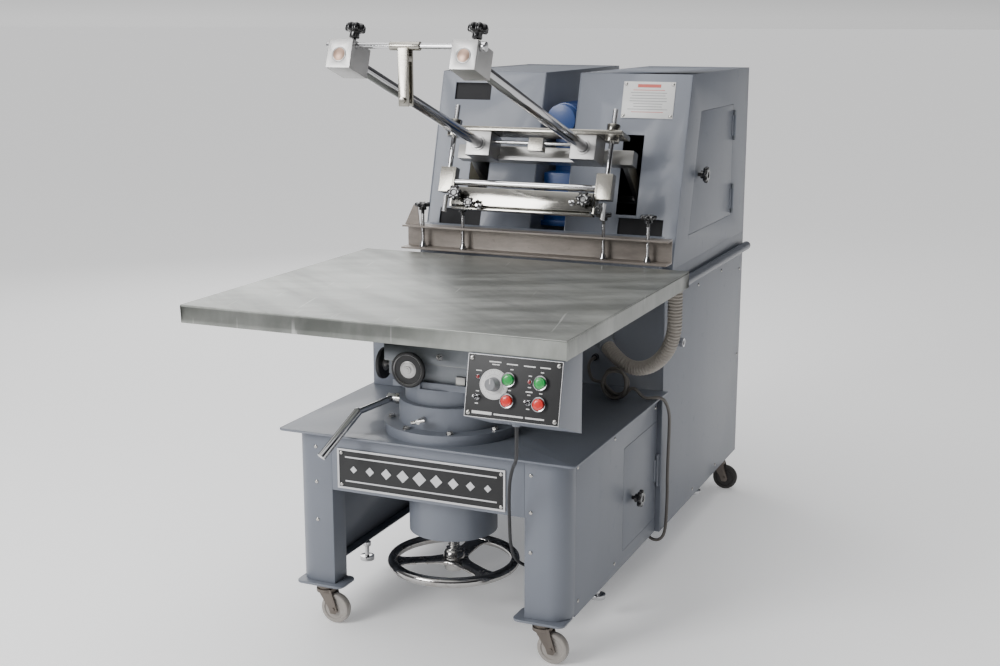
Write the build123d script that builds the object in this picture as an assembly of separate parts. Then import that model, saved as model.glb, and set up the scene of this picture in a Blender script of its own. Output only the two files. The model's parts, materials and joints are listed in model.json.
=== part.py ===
from build123d import *
import math
import os

# Flat-bed screen printing press with a lifting vacuum table.
# Millimetres. +Z is up, -Y is the operator's side, the floor is z = 0 and x = 0 is the centre plane.

# Base frame
base_half_width = 396
base_front = -640
base_depth = 732
base_height = 518
plate_thick = 6
plate_corner = 14
overhang = 30
sheet = 3
leg_width = 106
leg_depth = 62
leg_corner = 48
foot_thick = 6
foot_width = 133
foot_depth = 82
foot_corner = 18
apron_height = 146
flange_in = 30
caster_height = 108

# Rear cabinet and upper housings
cabinet_half_width = 380
cabinet_depth = 851
cabinet_height = 845
housing_ledge = 60
housing_height = 1366
housing_lean = 148
slot_half_width = 52
side_tube_height = 800
side_tube_radius = 13.5
side_tube_rear = 950
duct_width = 84
duct_depth = 250
duct_height = 310
cord_eye = (252, 621)
cord_eye_radius = 13
cord_eye_hole = 7
blower_setback = 250
blower_rise = 150
blower_radius = 125
blower_motor_radius = 80

# Doors
lower_door_width = 284
lower_door_low = 150
lower_door_high = 430
upper_door_low = 921
upper_door_high = 1260
upper_door_margin = 85
upper_door_rear = 762
hinge_radius = 4
hinge_pin = 2
knuckle = 14
lower_barrel = 92
upper_barrel = 90
hinge_leaf = 2
door_knob_radius = 24
door_knob_height = 22
door_knob_neck = 8
lower_knob_inset = 74

# Pedestal, column and cross slides
column_y = -452
flange_radius = 172
flange_thick = 25
sleeve_radius = 134
sleeve_top = 600
lower_tube_radius = 112
lower_tube_bottom = 254
nut_thick = 16
column_radius = 100
column_wall = 20
column_head_radius = 118
column_head_top = 640
slide_plate = 16
rail_width = 24
rail_height = 20
rail_offset = 70
saddle_half_x = 108
saddle_half_y = 98
saddle_thick = 44
carrier_half_x = 134
carrier_half_y = 108
carrier_thick = 45
slide_travel = 10
lift_screw_radius = 15
lock_screw = (-15, 571.5)
lever_offset = 31
lever_drop = 16
lever_boss = 14
handwheel_radius = 170
handwheel_z = 165
rim_radius = 13
hub_radius = 28
hub_height = 50
spoke_width = 44
spoke_thick = 10
depth_wheel_radius = 45
cross_wheel_radius = 40
feed_wheel_depth = 19
feed_screw_radius = 5
depth_screw_length = 108
cross_screw_bite = 20
bracket_thick = 8
bracket_gap = 2
nut_plate = 2

# Table
table_half_width = 475
table_front = -907
table_depth = 890
table_top = 876
table_edge = 43
table_skin = 4
riser_depth = 30

# Control box
box_left = 257
box_width = 213
box_height = 132
box_lean = 28
box_depth = 108
box_drop = 50
panel_thick = 3
panel_margin = 1
button_radius = 12
bezel_radius = 16
bezel_height = 8
cap_low = 6.5
cap_height = 6
dial_radius = 32
dial_knob_radius = 13
dial_knob_height = 22
arm_bar = 30
arm_bar_inset = 5
button_places = {
    "machine_on": (-10, 19),
    "machine_off": (-10, -25),
    "vacuum_on": (61, 19),
    "vacuum_off": (61, -25),
}
toggle_places = {"counter_toggle": (-80, -24), "timer_toggle": (36, -24)}
lamp_places = ((-80, 19), (36, 19))
dial_place = (-43.5, 6)
toggle_lean = 12
toggle_ball = 3
toggle_pin = 1.2
toggle_pin_length = 7.6

# Print head, in its own frame: a runs forward along the rods, b is square to them
head_tilt = 18.84
head_y = 200
head_z = 1128.5
pivot_y = 330
pivot_z = 1010
pivot_radius = 15
rod_radius = 15
rod_x = 154
rod_end = 952
end_block_half = 31
end_block_low = 31
end_block_high = 36
end_block_start = 876
end_block_length = 85
guide_block_half = 36
guide_block_high = 34
guide_block_start = 87
guide_block_length = 76
cross_rod_radius = 6.5
cross_rod_a = 942
cross_rod_b = 26
end_knob_a = 905
end_knob_hole = 7
end_knob_stud = 8
end_knob_radius = 24
spindle_x = 232
spindle_a = 158
spindle_radius = 7
bridge_half_width = 262
bridge_thick = 12
yoke_half = 262
yoke_start = 15
yoke_length = 40
yoke_half_height = 20
rod_socket = 5
arm_x = 230
arm_thick = 14
cheek_half = 20
cheek_high = -72
cheek_low = -182
blade_half_width = 168
lever_length = 132
strap_half = 12

# Frame clamp
channel_half_width = 396
channel_bottom = 872
channel_height = 67
channel_depth = 43
channel_thick = 5
clamp_positions = (-336, -210, 210, 336)
clamp_radius = 5
clamp_knob_radius = 23

# Casters and levelling feet
wheel_radius = 40
wheel_width = 24
caster_trail = 28
front_caster = (299, -588)
rear_caster = (345, 850)
fork_thick = 4
axle_radius = 5
level_foot = (338, -300, 600)
race_depth = 16

# Drive behind the slot
gearbox_margin = 6
motor_rise = 177
motor_rear = 200
motor_front = 20

# Cords, each a route of points from the end nearer the operator's side or the machine's outlet
port_elbow = (212, 60, 655)
port_radius = 24
hose_radius = 20
hose_route = [
    (446, -38, 832.7), (446, -38, 772), (446, -36, 715), (426, -28, 657), (382, -16, 612),
    (330, -6, 596), (279.2, 4, 613), (236, 40, 640),
]
control_cable_radius = 4
control_cable_route = [
    (345, -862, 669), (345, -860, 612), (318, -802, 566), (284, -736, 534), (256, -690, 484),
    (243, -664, 424), (238, -648, 362), (234, -634, 306), (233, -608, 262), (238, -572, 232),
    (256, -534, 212), (288, -512, 203), (322, -506, 200), (356, -506, 200),
]
mains_radius = 4.5
lead_route = [
    (184, 92, 596), (184, 62, 596), (186, 32, 594), (194, 4, 586), (208, -24, 574), (226, -48, 564),
    (250, -48, 564),
]
tail_route = [
    (330, -50, 556), (346, -50, 556), (358, -46, 540), (368, -36, 527), (382, -22, 525.5), (397, -6, 526),
    (408, 12, 516), (411, 34, 494), (408, 66, 462), (400, 96, 424), (394, 114, 372), (392, 117, 318),
    (392, 116, 262), (393, 117, 206), (392, 116, 156), (391, 116, 118), (384, 116, 84), (362, 116, 70),
    (336, 116, 82), (336, 116, 108),
]
coil_low = (250, -64)
coil_high = (330, -36, 612)
coil_corner = 30
gland_wall = 5
gland_length = 12

# Screws and plates
screw_radius = 5
screw_proud = 2.5
leg_screw_x = (276, -305)
leg_screw_z = (473, 381, 281)
side_screws = [(71, 484), (340, 479), (682, 473), (83, 143), (352, 139)]
cabinet_screws = [
    (70, 132), (70, 758), (330, 132), (330, 758), (590, 132), (590, 758), (815, 728), (824, 443),
]
badge_x = (-242, 212)
plate_x = (185, 335)

# Clearances
run_gap = 0.05
slide_gap = 0.3
seam_gap = 1.0

# Places that follow from the sizes above
base_rear = base_front + base_depth
body_half = base_half_width - overhang
body_front = base_front + overhang
plate_bottom = base_height - plate_thick
foot_front = body_front - 18
cabinet_front = base_rear
cabinet_rear = cabinet_front + cabinet_depth
housing_foot = cabinet_front + housing_ledge
housing_slope = housing_lean / (housing_height - cabinet_height)
lean_angle = math.degrees(math.atan(housing_slope))
table_rear = table_front + table_depth
table_under = table_top - table_edge
saddle_low = column_head_top + slide_plate + slide_gap
saddle_top = saddle_low + saddle_thick
carrier_low = saddle_top + slide_gap
carrier_top = carrier_low + carrier_thick
depth_feed_z = saddle_low + saddle_thick * 0.75
cross_feed_z = saddle_low + saddle_thick * 0.56
depth_feed_x = -56
cross_feed_y = column_y - 61
channel_front = cabinet_front - channel_depth
channel_top = channel_bottom + channel_height
clamp_y = channel_front + 14
tilt = math.radians(head_tilt)
lever_y = column_y - lever_offset
lever_z = sleeve_top - lever_drop
upper_hinge = (cabinet_half_width + hinge_radius + slide_gap, upper_door_rear + hinge_radius)
lower_hinge = (body_half + hinge_radius + slide_gap, base_rear - hinge_radius - hinge_leaf)
lower_middle = (lower_door_low + lower_door_high) / 2
lower_span = (lower_middle - lower_barrel / 2, lower_middle + lower_barrel / 2)
upper_spans = [
    (upper_door_low + 6, upper_door_low + 6 + upper_barrel),
    (upper_door_high - 18 - upper_barrel, upper_door_high - 18),
]
box_top = table_under - slide_gap
box_right = box_left + box_width
panel_top_y = table_front - 1
panel_low_y = panel_top_y - box_lean
panel_low_z = box_top - box_height
panel_angle = math.atan2(box_lean, box_height)
panel_slope = math.hypot(box_height, box_lean)
panel_out = Vector(0, -math.cos(panel_angle), math.sin(panel_angle))
caster_centres = {
    "front_left": (-front_caster[0], front_caster[1]),
    "front_right": front_caster,
    "rear_left": (-rear_caster[0], rear_caster[1]),
    "rear_right": rear_caster,
}
race_low = caster_height - race_depth


def block(x0, x1, y0, y1, z0, z1):
    centre = Pos((x0 + x1) / 2, (y0 + y1) / 2, (z0 + z1) / 2)
    return centre * Box(abs(x1 - x0), abs(y1 - y0), abs(z1 - z0))


def rod(start, end, radius):
    axis = Vector(*end) - Vector(*start)
    place = Plane(origin=start, z_dir=axis).location
    return place * Pos(0, 0, axis.length / 2) * Cylinder(radius, axis.length)


def ring(start, end, radius, bore):
    return rod(start, end, radius) - rod(start, end, bore)


def side_prism(points, x0, x1):
    # a (y, z) outline carried from x0 to x1
    return extrude(Plane.YZ.offset(x0) * Polygon(*points, align=None), amount=x1 - x0, dir=(1, 0, 0))


def star_knob(place, radius, height, neck):
    # seven lobes round a hub, on a neck that starts at the place's origin
    lobe = radius * 0.28
    outline = Circle(radius - lobe)
    for step in range(7):
        turn = math.tau * step / 7
        outline += Pos((radius - lobe) * math.cos(turn), (radius - lobe) * math.sin(turn)) * Circle(lobe)
    head = Pos(0, 0, neck + height * 0.4) * extrude(outline, amount=height * 0.6)
    hub = Pos(0, 0, neck + height * 0.2) * Cylinder(radius * 0.5, height * 0.4)
    stem = Pos(0, 0, neck / 2) * Cylinder(radius * 0.22, neck)
    return place * (head + hub + stem)


def mirrored(shapes):
    return [mirror(shape, about=Plane.YZ) for shape in shapes]


def both_sides(*shapes):
    return list(shapes) + mirrored(shapes)


def save(name, *shapes):
    solids = []
    for shape in shapes:
        solids += list(shape.solids())
    export_step(Compound(solids), f"parts/{name}.step")


# ---- base frame

def base_plate():
    plate = block(-base_half_width, base_half_width, base_front, base_rear, plate_bottom, base_height)
    plate = fillet(plate.edges().filter_by(Axis.Z).sort_by(Axis.Y)[:2], plate_corner)
    return plate - Pos(0, column_y, base_height) * Cylinder(lower_tube_radius, plate_thick * 4)


def rounded_corner(shape, radius):
    # rounds the front outer corner of a block on the +X side
    corner = shape.edges().filter_by(Axis.Z).sort_by(Axis.Y)[:2].sort_by(Axis.X)[-1]
    return fillet([corner], radius)


def front_leg():
    inner = body_half - leg_width
    low = caster_height + foot_thick
    rear = body_front + leg_depth
    outside = block(inner, body_half, body_front, rear, low, plate_bottom)
    inside = block(inner + sheet, body_half - sheet, body_front + sheet, rear + sheet,
                   low - sheet, base_height)
    shell = rounded_corner(outside, leg_corner) - rounded_corner(inside, leg_corner - sheet)
    foot = block(body_half - foot_width, body_half, foot_front, foot_front + foot_depth, caster_height, low)
    return [shell, fillet(foot.edges().filter_by(Axis.Z), foot_corner)]


def side_panel(with_door):
    skin = block(body_half - sheet, body_half, body_front + leg_depth, base_rear, caster_height, plate_bottom)
    if with_door:
        start = base_rear - lower_door_width - seam_gap
        skin -= block(0, base_half_width, start, base_rear + sheet,
                      lower_door_low - seam_gap, lower_door_high + seam_gap)
    flange = block(body_half - flange_in, body_half - sheet, foot_front + foot_depth, base_rear,
                   caster_height, caster_height + sheet)
    return [skin, flange]


def cable_entry():
    x, y, z = control_cable_route[-1]
    return rod((x, y, z), (body_half - sheet, y, z), control_cable_radius + gland_wall)


def apron():
    inner = body_half - leg_width
    low = plate_bottom - apron_height
    front = block(-inner, inner, body_front, body_front + sheet, low, plate_bottom)
    lip = block(-inner, inner, body_front + sheet, body_front + flange_in, low, low + sheet)
    return [front, lip]


def cabinet():
    half, low, top = cabinet_half_width, caster_height, cabinet_height
    front, rear = cabinet_front, cabinet_rear
    side = block(half - sheet, half, front, rear, low, top)
    walls = [block(sheet - half, half - sheet, y, y + sheet, low, top) for y in (front, rear - sheet)]
    floors = [
        block(sheet - half, half - sheet, front + sheet, rear - sheet, z, z + sheet)
        for z in (low, top - sheet)
    ]
    eye = ring((half, *cord_eye), (half + 10, *cord_eye), cord_eye_radius, cord_eye_hole)
    glands = [gland(lead_route[0], (0, -1, 0), mains_radius), gland(tail_route[-1], (0, 0, -1), mains_radius)]
    x, y = lower_hinge
    leaf_front = y + hinge_radius + slide_gap
    leaf = block(x - hinge_radius + 1, half, leaf_front, front, *lower_span)
    for low_end, high_end in hinge_ends(*lower_span):
        leaf += block(x - 2, x + 2, y, front, low_end, high_end)
    return both_sides(side) + walls + floors + [eye, leaf + hinge_frame(x, y, *lower_span)] + glands


def duct():
    left = 2 * sheet - body_half - 25
    outside = block(left, left + duct_width, cabinet_front - duct_depth, cabinet_front,
                    base_height, base_height + duct_height)
    return outside - block(left + sheet, left + duct_width - sheet, cabinet_front - duct_depth + sheet,
                           cabinet_front - sheet, base_height + sheet, base_height + duct_height - sheet)


def side_tube():
    x = cabinet_half_width + side_tube_radius + slide_gap
    end = side_tube_rear - side_tube_radius
    tube = rod((x, cabinet_front + 6, side_tube_height), (x, end, side_tube_height), side_tube_radius)
    tube += Pos(x, end, side_tube_height) * Sphere(side_tube_radius)
    bolts = [
        rod((cabinet_half_width, y, side_tube_height - side_tube_radius - 4),
            (cabinet_half_width + 8, y, side_tube_height - side_tube_radius - 4), 4)
        for y in (cabinet_front + 120, cabinet_front + 500, cabinet_rear - 60)
    ]
    return [tube] + bolts


# ---- upper housings

def slope_y(z):
    return housing_foot + (z - cabinet_height) * housing_slope


def slope_window(x0, x1, z0, z1):
    # a cutter that goes square through the leaning front panel
    points = [(slope_y(z) + step, z) for z, step in ((z0, -9), (z1, -9), (z1, 15), (z0, 15))]
    return side_prism(points, x0, x1)


def housing(side):
    inner, outer = slot_half_width, cabinet_half_width
    low, top = cabinet_height, housing_height
    outline = [(slope_y(low), low), (slope_y(top), top), (cabinet_rear, top), (cabinet_rear, low)]
    run = sheet / math.cos(math.radians(lean_angle))
    face = [(slope_y(low), low), (slope_y(top), top), (slope_y(top) + run, top), (slope_y(low) + run, low)]
    outer_wall = side_prism(outline, outer - sheet, outer)
    inner_wall = side_prism(outline, inner, inner + sheet)
    inner_wall -= rod((0, pivot_y, pivot_z), (outer, pivot_y, pivot_z), pivot_radius + 1)
    front = side_prism(face, inner + sheet, outer - sheet)
    front -= slope_window(arm_x - 30, arm_x + 30, pivot_z - 27, 1200)
    front -= slope_window(arm_x - 20, outer - 40, cabinet_height + 80, pivot_z - 35)
    roof = block(inner + sheet, outer - sheet, slope_y(top) + run, cabinet_rear, top - sheet, top)
    rear = block(inner + sheet, outer - sheet, cabinet_rear - sheet, cabinet_rear, low, top - sheet)
    if side > 0:
        outer_wall -= side_prism(door_outline(seam_gap), outer - 2 * sheet, outer + sheet)
        return [outer_wall, inner_wall, front, roof, rear, pivot_bearing()] + upper_hinges()
    front -= slope_window(outer - 160, outer - 46, housing_height - 81, housing_height - 33)
    return mirrored([outer_wall, inner_wall, front, roof, rear, pivot_bearing()])


def door_outline(grow):
    low, high = upper_door_low - grow, upper_door_high + grow
    front = upper_door_margin + 45 - grow
    rear = upper_door_rear + grow
    return [(slope_y(low) + front, low), (slope_y(high) + front, high), (rear, high), (rear, low)]


def hinge_ends(low, high):
    # the fixed knuckles' lengths at the two ends of a hinge
    return [(low, low + knuckle), (high - knuckle, high)]


def hinge_frame(x, y, low, high):
    pin = rod((x, y, low), (x, y, high), hinge_pin)
    for start, end in hinge_ends(low, high):
        pin += rod((x, y, start), (x, y, end), hinge_radius)
    return pin


def hinge_barrel(x, y, low, high, tab):
    # the door's knuckle and its tab, between the fixed knuckles
    start, end = low + knuckle + slide_gap, high - knuckle - slide_gap
    barrel = rod((x, y, start), (x, y, end), hinge_radius)
    bore = rod((x, y, low), (x, y, high), hinge_pin + run_gap)
    return barrel + block(tab, tab + hinge_leaf, y - hinge_radius * 4.5, y, start, end) - bore


def upper_hinges():
    x, y = upper_hinge
    pieces = []
    for low, high in upper_spans:
        wall, face = cabinet_half_width, cabinet_half_width + hinge_leaf
        leaf = block(wall, face, y + hinge_radius + slide_gap, y + 22, low, high)
        for start, end in hinge_ends(low, high):
            leaf += block(wall, face, y, y + 22, start, end)
        pieces.append(leaf + hinge_frame(x, y, low, high))
    return pieces


def upper_door():
    x = cabinet_half_width
    leaf = side_prism(door_outline(0), x - sheet, x)
    barrels = [hinge_barrel(*upper_hinge, low, high, x) for low, high in upper_spans]
    knob_z = (upper_door_low + upper_door_high) / 2 - 6
    place = Location((x, slope_y(knob_z) + upper_door_margin + 78, knob_z), (0, 90, 0))
    return [leaf, star_knob(place, door_knob_radius, door_knob_height, door_knob_neck)] + barrels


def lower_door():
    x = body_half
    rear = base_rear
    leaf = block(x - sheet, x, rear - lower_door_width, rear - seam_gap, lower_door_low, lower_door_high)
    place = Location((x, rear - lower_door_width + lower_knob_inset, lower_middle - 14), (0, 90, 0))
    knob = star_knob(place, door_knob_radius, door_knob_height, door_knob_neck)
    return [leaf, hinge_barrel(*lower_hinge, *lower_span, x), knob]


# ---- drive behind the slot

def gear_motor():
    half = slot_half_width - gearbox_margin
    gearbox = block(-half, half, pivot_y - 60, pivot_y + 70, pivot_z - 65, pivot_z + 72)
    gearbox -= rod((-half * 2, pivot_y, pivot_z), (half * 2, pivot_y, pivot_z), pivot_radius + run_gap)
    shelf = block(-slot_half_width, slot_half_width, pivot_y - 70, pivot_y + 90, pivot_z - 80, pivot_z - 65)
    stool_top = pivot_z + motor_rise
    stool = block(-30, 30, pivot_y - 10, pivot_y + 170, pivot_z + 72, stool_top)
    motor_z = stool_top + half + 1
    motor_start = pivot_y - motor_front
    motor = rod((0, motor_start, motor_z), (0, pivot_y + motor_rear, motor_z), half)
    fan_cover = rod((0, motor_start - 30, motor_z), (0, motor_start, motor_z), half - 3)
    cradle = block(-26, 26, pivot_y - 5, pivot_y + 165, stool_top, stool_top + 9) - motor
    return [gearbox, shelf, stool, motor, fan_cover, cradle]


def pivot_bearing():
    start = slot_half_width + sheet
    return ring((start, pivot_y, pivot_z), (start + 22, pivot_y, pivot_z), 34, pivot_radius + run_gap)


def vacuum_blower():
    y = cabinet_front + blower_setback
    z = caster_height + sheet + blower_rise
    drum = rod((-60, y, z), (120, y, z), blower_radius)
    drum_motor = rod((-220, y, z), (-60, y, z), blower_motor_radius)
    stand = block(-200, 110, y - 90, y + 90, caster_height + sheet, z) - drum - drum_motor
    port = rod((port_elbow[0], cabinet_front, port_elbow[2]), port_elbow, port_radius)
    port += Pos(*port_elbow) * Sphere(port_radius)
    port += rod(port_elbow, hose_route[-1], port_radius)
    return [drum, drum_motor, stand, port]


# ---- pedestal and column

def pedestal():
    base = Pos(0, column_y, 0)
    flange = base * Pos(0, 0, base_height + flange_thick / 2) * Cylinder(flange_radius, flange_thick)
    collar_low = base_height + flange_thick
    collar = base * Pos(0, 0, (collar_low + sleeve_top) / 2) * Cylinder(
        sleeve_radius, sleeve_top - collar_low)
    lower = base * Pos(0, 0, (lower_tube_bottom + base_height) / 2) * Cylinder(
        lower_tube_radius, base_height - lower_tube_bottom)
    bore_low = lower_tube_bottom + nut_thick
    bore = base * Pos(0, 0, (bore_low + sleeve_top + 9) / 2) * Cylinder(
        column_radius + run_gap, sleeve_top + 9 - bore_low)
    nut_hole = base * Pos(0, 0, lower_tube_bottom) * Cylinder(lift_screw_radius + run_gap, nut_thick * 4)
    body = flange + collar + lower - bore - nut_hole
    bolts = []
    for step in range(8):
        turn = math.tau * (step + 0.5) / 8
        x = (flange_radius + sleeve_radius) / 2 * math.cos(turn)
        y = column_y + (flange_radius + sleeve_radius) / 2 * math.sin(turn)
        bolts.append(Pos(x, y, collar_low + 4) * Cylinder(8, 8))
    lock_x, lock_z = lock_screw
    lock_end = column_y - sleeve_radius - 28
    lock = rod((lock_x, lock_end + 28, lock_z), (lock_x, lock_end - 4, lock_z), 6)
    lock += rod((lock_x - 18, lock_end, lock_z - 5), (lock_x + 18, lock_end, lock_z + 5), 4.5)
    boss = rod((8 - sleeve_radius, lever_y, lever_z), (-sleeve_radius - 6, lever_y, lever_z), lever_boss)
    boss -= collar
    return [body] + bolts + [lock, boss]


def column():
    base = Pos(0, column_y, 0)
    low = lower_tube_bottom + nut_thick + 10
    head_low = sleeve_top + slide_gap
    tube = base * Pos(0, 0, (low + head_low) / 2) * Cylinder(column_radius, head_low - low)
    head = base * Pos(0, 0, (head_low + column_head_top) / 2) * Cylinder(
        column_head_radius, column_head_top - head_low)
    hollow = base * Pos(0, 0, (low + nut_thick + head_low) / 2) * Cylinder(
        column_radius - column_wall, head_low - low - nut_thick)
    hole = base * Pos(0, 0, low) * Cylinder(lift_screw_radius + run_gap, nut_thick * 3)
    plate = block(-110, 110, column_y - 110, column_y + 110, column_head_top, column_head_top + slide_plate)
    body = tube + head + plate - hollow - hole
    rail_low = column_head_top + slide_plate
    rails = both_sides(block(rail_offset - rail_width / 2, rail_offset + rail_width / 2,
                             column_y - 105, column_y + 105, rail_low, rail_low + rail_height))
    front = column_y - 110
    bracket = block(depth_feed_x - 24, depth_feed_x + 24, front - bracket_thick, front,
                    column_head_top, carrier_low - bracket_gap)
    bracket -= rod((depth_feed_x, front - 20, depth_feed_z), (depth_feed_x, front + 20, depth_feed_z),
                   feed_screw_radius + run_gap)
    return [body, bracket] + rails


def lift_handwheel():
    base = Pos(0, column_y, 0)
    rim = base * Pos(0, 0, handwheel_z) * Torus(handwheel_radius - rim_radius, rim_radius)
    hub = base * Pos(0, 0, handwheel_z) * Cylinder(hub_radius, hub_height)
    wheel = hub + rim
    for step in range(3):
        spoke = Pos(handwheel_radius / 2, 0, 0) * Box(
            handwheel_radius - rim_radius * 1.5, spoke_width, spoke_thick)
        wheel += base * Pos(0, 0, handwheel_z) * Rot(0, 0, 90 + 120 * step) * spoke
    screw_low = handwheel_z - hub_height / 2
    screw_top = lower_tube_bottom + nut_thick + 10 + nut_thick + 12
    screw = base * Pos(0, 0, (screw_low + screw_top) / 2) * Cylinder(lift_screw_radius, screw_top - screw_low)
    wheel -= base * Pos(0, 0, handwheel_z) * Cylinder(lift_screw_radius, hub_height * 2)
    collar_z = lower_tube_bottom + nut_thick + 2
    collar = base * Pos(0, 0, collar_z + 3.5) * Cylinder(26, 7)
    return [wheel, screw + collar]


def saddle():
    body = block(-saddle_half_x, saddle_half_x, column_y - saddle_half_y, column_y + saddle_half_y,
                 saddle_low, saddle_top)
    for x in (-rail_offset, rail_offset):
        half = rail_width / 2 + slide_gap
        body -= block(x - half, x + half, column_y - 200, column_y + 200,
                      saddle_low, saddle_low + rail_height)
    depth_end = column_y - saddle_half_y + 70
    body -= rod((depth_feed_x, column_y - 200, depth_feed_z), (depth_feed_x, depth_end + 20, depth_feed_z),
                feed_screw_radius + run_gap)
    body -= rod((-saddle_half_x - 10, cross_feed_y, cross_feed_z),
                (-saddle_half_x + cross_screw_bite, cross_feed_y, cross_feed_z), feed_screw_radius + run_gap)
    rails = [
        block(-102, 102, column_y + y - rail_width / 2, column_y + y + rail_width / 2,
              saddle_top, saddle_top + rail_height)
        for y in (-rail_offset, rail_offset)
    ]
    return [body] + rails


def feed_wheel(centre, inward, radius, screw_length):
    # a rimmed hand wheel with a crank pin, and its feed screw along the inward direction
    place = Plane(origin=centre, z_dir=inward).location
    disc = Pos(0, 0, 6) * Cylinder(radius, 12)
    dish = Pos(0, 0, 0) * Cylinder(radius - 9, 9)
    hub = Pos(0, 0, 9) * Cylinder(13, 20)
    screw = Pos(0, 0, screw_length / 2) * Cylinder(feed_screw_radius, screw_length)
    return place * (disc - dish + hub + screw)


def depth_wheel():
    front = column_y - 110 - bracket_thick - slide_gap - feed_wheel_depth
    centre = (depth_feed_x, front, depth_feed_z)
    return [feed_wheel(centre, (0, 1, 0), depth_wheel_radius, depth_screw_length)]


def cross_wheel():
    left = -carrier_half_x - nut_plate - slide_travel - slide_gap - feed_wheel_depth
    length = -saddle_half_x + cross_screw_bite - 1 - left
    return [feed_wheel((left, cross_feed_y, cross_feed_z), (1, 0, 0), cross_wheel_radius, length)]


def clamp_lever():
    hub_x = -sleeve_radius - 6 - slide_gap
    hub = rod((hub_x, lever_y, lever_z), (hub_x - 24, lever_y, lever_z), 12)
    elbow = (hub_x - 36, lever_y - 140, lever_z - 4)
    arm = rod((hub_x - 12, lever_y, lever_z), elbow, 8)
    grip = rod(elbow, (elbow[0] - 46, elbow[1] - 100, elbow[2] - 92), 11)
    return [hub + arm + Pos(*elbow) * Sphere(11) + grip]


# ---- table

def table():
    half = table_half_width
    skin = block(-half, half, table_front, table_rear, table_top - table_skin, table_top)
    edges = [
        block(-half, half, y, y + table_skin, table_under, table_top - table_skin)
        for y in (table_front, table_rear - table_skin)
    ]
    edges += both_sides(block(half - table_skin, half, table_front + table_skin, table_rear - table_skin,
                              table_under, table_top - table_skin))
    tray = block(-half + table_skin, half - table_skin, table_front + table_skin, table_rear - table_skin,
                 table_under, table_under + table_skin)
    carrier = block(-carrier_half_x, carrier_half_x, column_y - carrier_half_y, column_y + carrier_half_y,
                    carrier_low, carrier_top)
    for y in (-rail_offset, rail_offset):
        reach = rail_width / 2 + slide_gap
        carrier -= block(-200, 200, column_y + y - reach, column_y + y + reach,
                         carrier_low, carrier_low + rail_height)
    riser_step = carrier_half_y - riser_depth / 2
    risers = [
        block(-carrier_half_x, carrier_half_x, y - riser_depth / 2, y + riser_depth / 2,
              carrier_top, table_under)
        for y in (column_y - riser_step, column_y, column_y + riser_step)
    ]
    nut_half = 20
    nut = block(-carrier_half_x - nut_plate, 8 - carrier_half_x,
                cross_feed_y - nut_half, cross_feed_y + nut_half, cross_feed_z - nut_half, carrier_low)
    nut -= rod((-carrier_half_x - 50, cross_feed_y, cross_feed_z), (0, cross_feed_y, cross_feed_z),
               feed_screw_radius + run_gap)
    return [skin] + edges + [tray, carrier] + risers + [nut]


# ---- control box and its panel

def panel_place(u, v, lift=0):
    # u to the right and v up the panel, from its middle, and lift out of its face
    middle = Vector(box_left + box_width / 2, (panel_top_y + panel_low_y) / 2, box_top - box_height / 2)
    up = Vector(0, math.sin(panel_angle), math.cos(panel_angle))
    origin = middle + Vector(u, 0, 0) + up * v + panel_out * (panel_thick + lift)
    return Plane(origin=origin, x_dir=(1, 0, 0), z_dir=panel_out).location


def control_box():
    rear = panel_top_y + box_depth
    outline = [(panel_top_y, box_top), (panel_low_y, panel_low_z), (rear, panel_low_z - box_drop),
               (rear, box_top)]
    shell = side_prism(outline, box_left, box_right)
    inside = [(panel_top_y + 2 * sheet, box_top - sheet), (panel_low_y + 2 * sheet, panel_low_z + sheet / 2),
              (rear - sheet, panel_low_z - box_drop + 2 * sheet), (rear - sheet, box_top - sheet)]
    shell -= side_prism(inside, box_left + sheet, box_right - sheet)
    x, y, z = control_cable_route[0]
    boss = rod((x, y, z + slide_gap), (x, y, z + 14), control_cable_radius + gland_wall)
    shell += boss - side_prism(inside, box_left, box_right)
    bar_low = column_head_top + slide_plate
    bar_left = box_left + arm_bar_inset
    long_bar = block(bar_left, bar_left + arm_bar, rear, column_y, bar_low, bar_low + arm_bar)
    cross_bar = block(110, bar_left + arm_bar, column_y - 18, column_y + 18, column_head_top, bar_low)
    return [shell, long_bar, cross_bar]


def control_panel():
    plate = panel_place(0, 0, -panel_thick / 2) * Box(box_width, panel_slope - 2 * panel_margin, panel_thick)
    disc = panel_place(*dial_place, 1) * Cylinder(dial_radius, 2)
    pieces = [plate, disc]
    for u, v in button_places.values():
        bezel = Cylinder(bezel_radius, bezel_height) - Cylinder(button_radius + slide_gap, bezel_height * 2)
        pieces.append(panel_place(u, v, bezel_height / 2) * bezel)
    for u, v in toggle_places.values():
        bush = Cylinder(6, 7) - Cylinder(4, 20)
        pieces.append(panel_place(u, v, 3.5) * bush)
    for u, v in lamp_places:
        pieces.append(panel_place(u, v, 2.5) * Cylinder(4.5, 5))
    for u in (-1, 1):
        for v in (-1, 1):
            place = panel_place(u * (box_width / 2 - 9), v * (panel_slope / 2 - 9), 1.25)
            pieces.append(place * Cylinder(4, 2.5))
    return pieces


def push_button(u, v):
    return [panel_place(u, v, cap_low + cap_height / 2) * Cylinder(button_radius, cap_height)]


def toggle(u, v):
    lever = Sphere(toggle_ball) + Pos(0, 0, 8) * Cylinder(2, 16) + Pos(0, 0, 16) * Sphere(3)
    pin = Rot(0, 90, 0) * Cylinder(toggle_pin, toggle_pin_length)
    return [panel_place(u, v, 4) * Rot(-toggle_lean, 0, 0) * (lever + pin)]


def speed_dial():
    pointer = Pos(0, dial_knob_radius - 2, 0) * Box(3, 5, dial_knob_height)
    knob = Cylinder(dial_knob_radius, dial_knob_height) + pointer
    return [panel_place(*dial_place, 2 + slide_gap + dial_knob_height / 2) * knob]


# ---- print head

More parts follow.
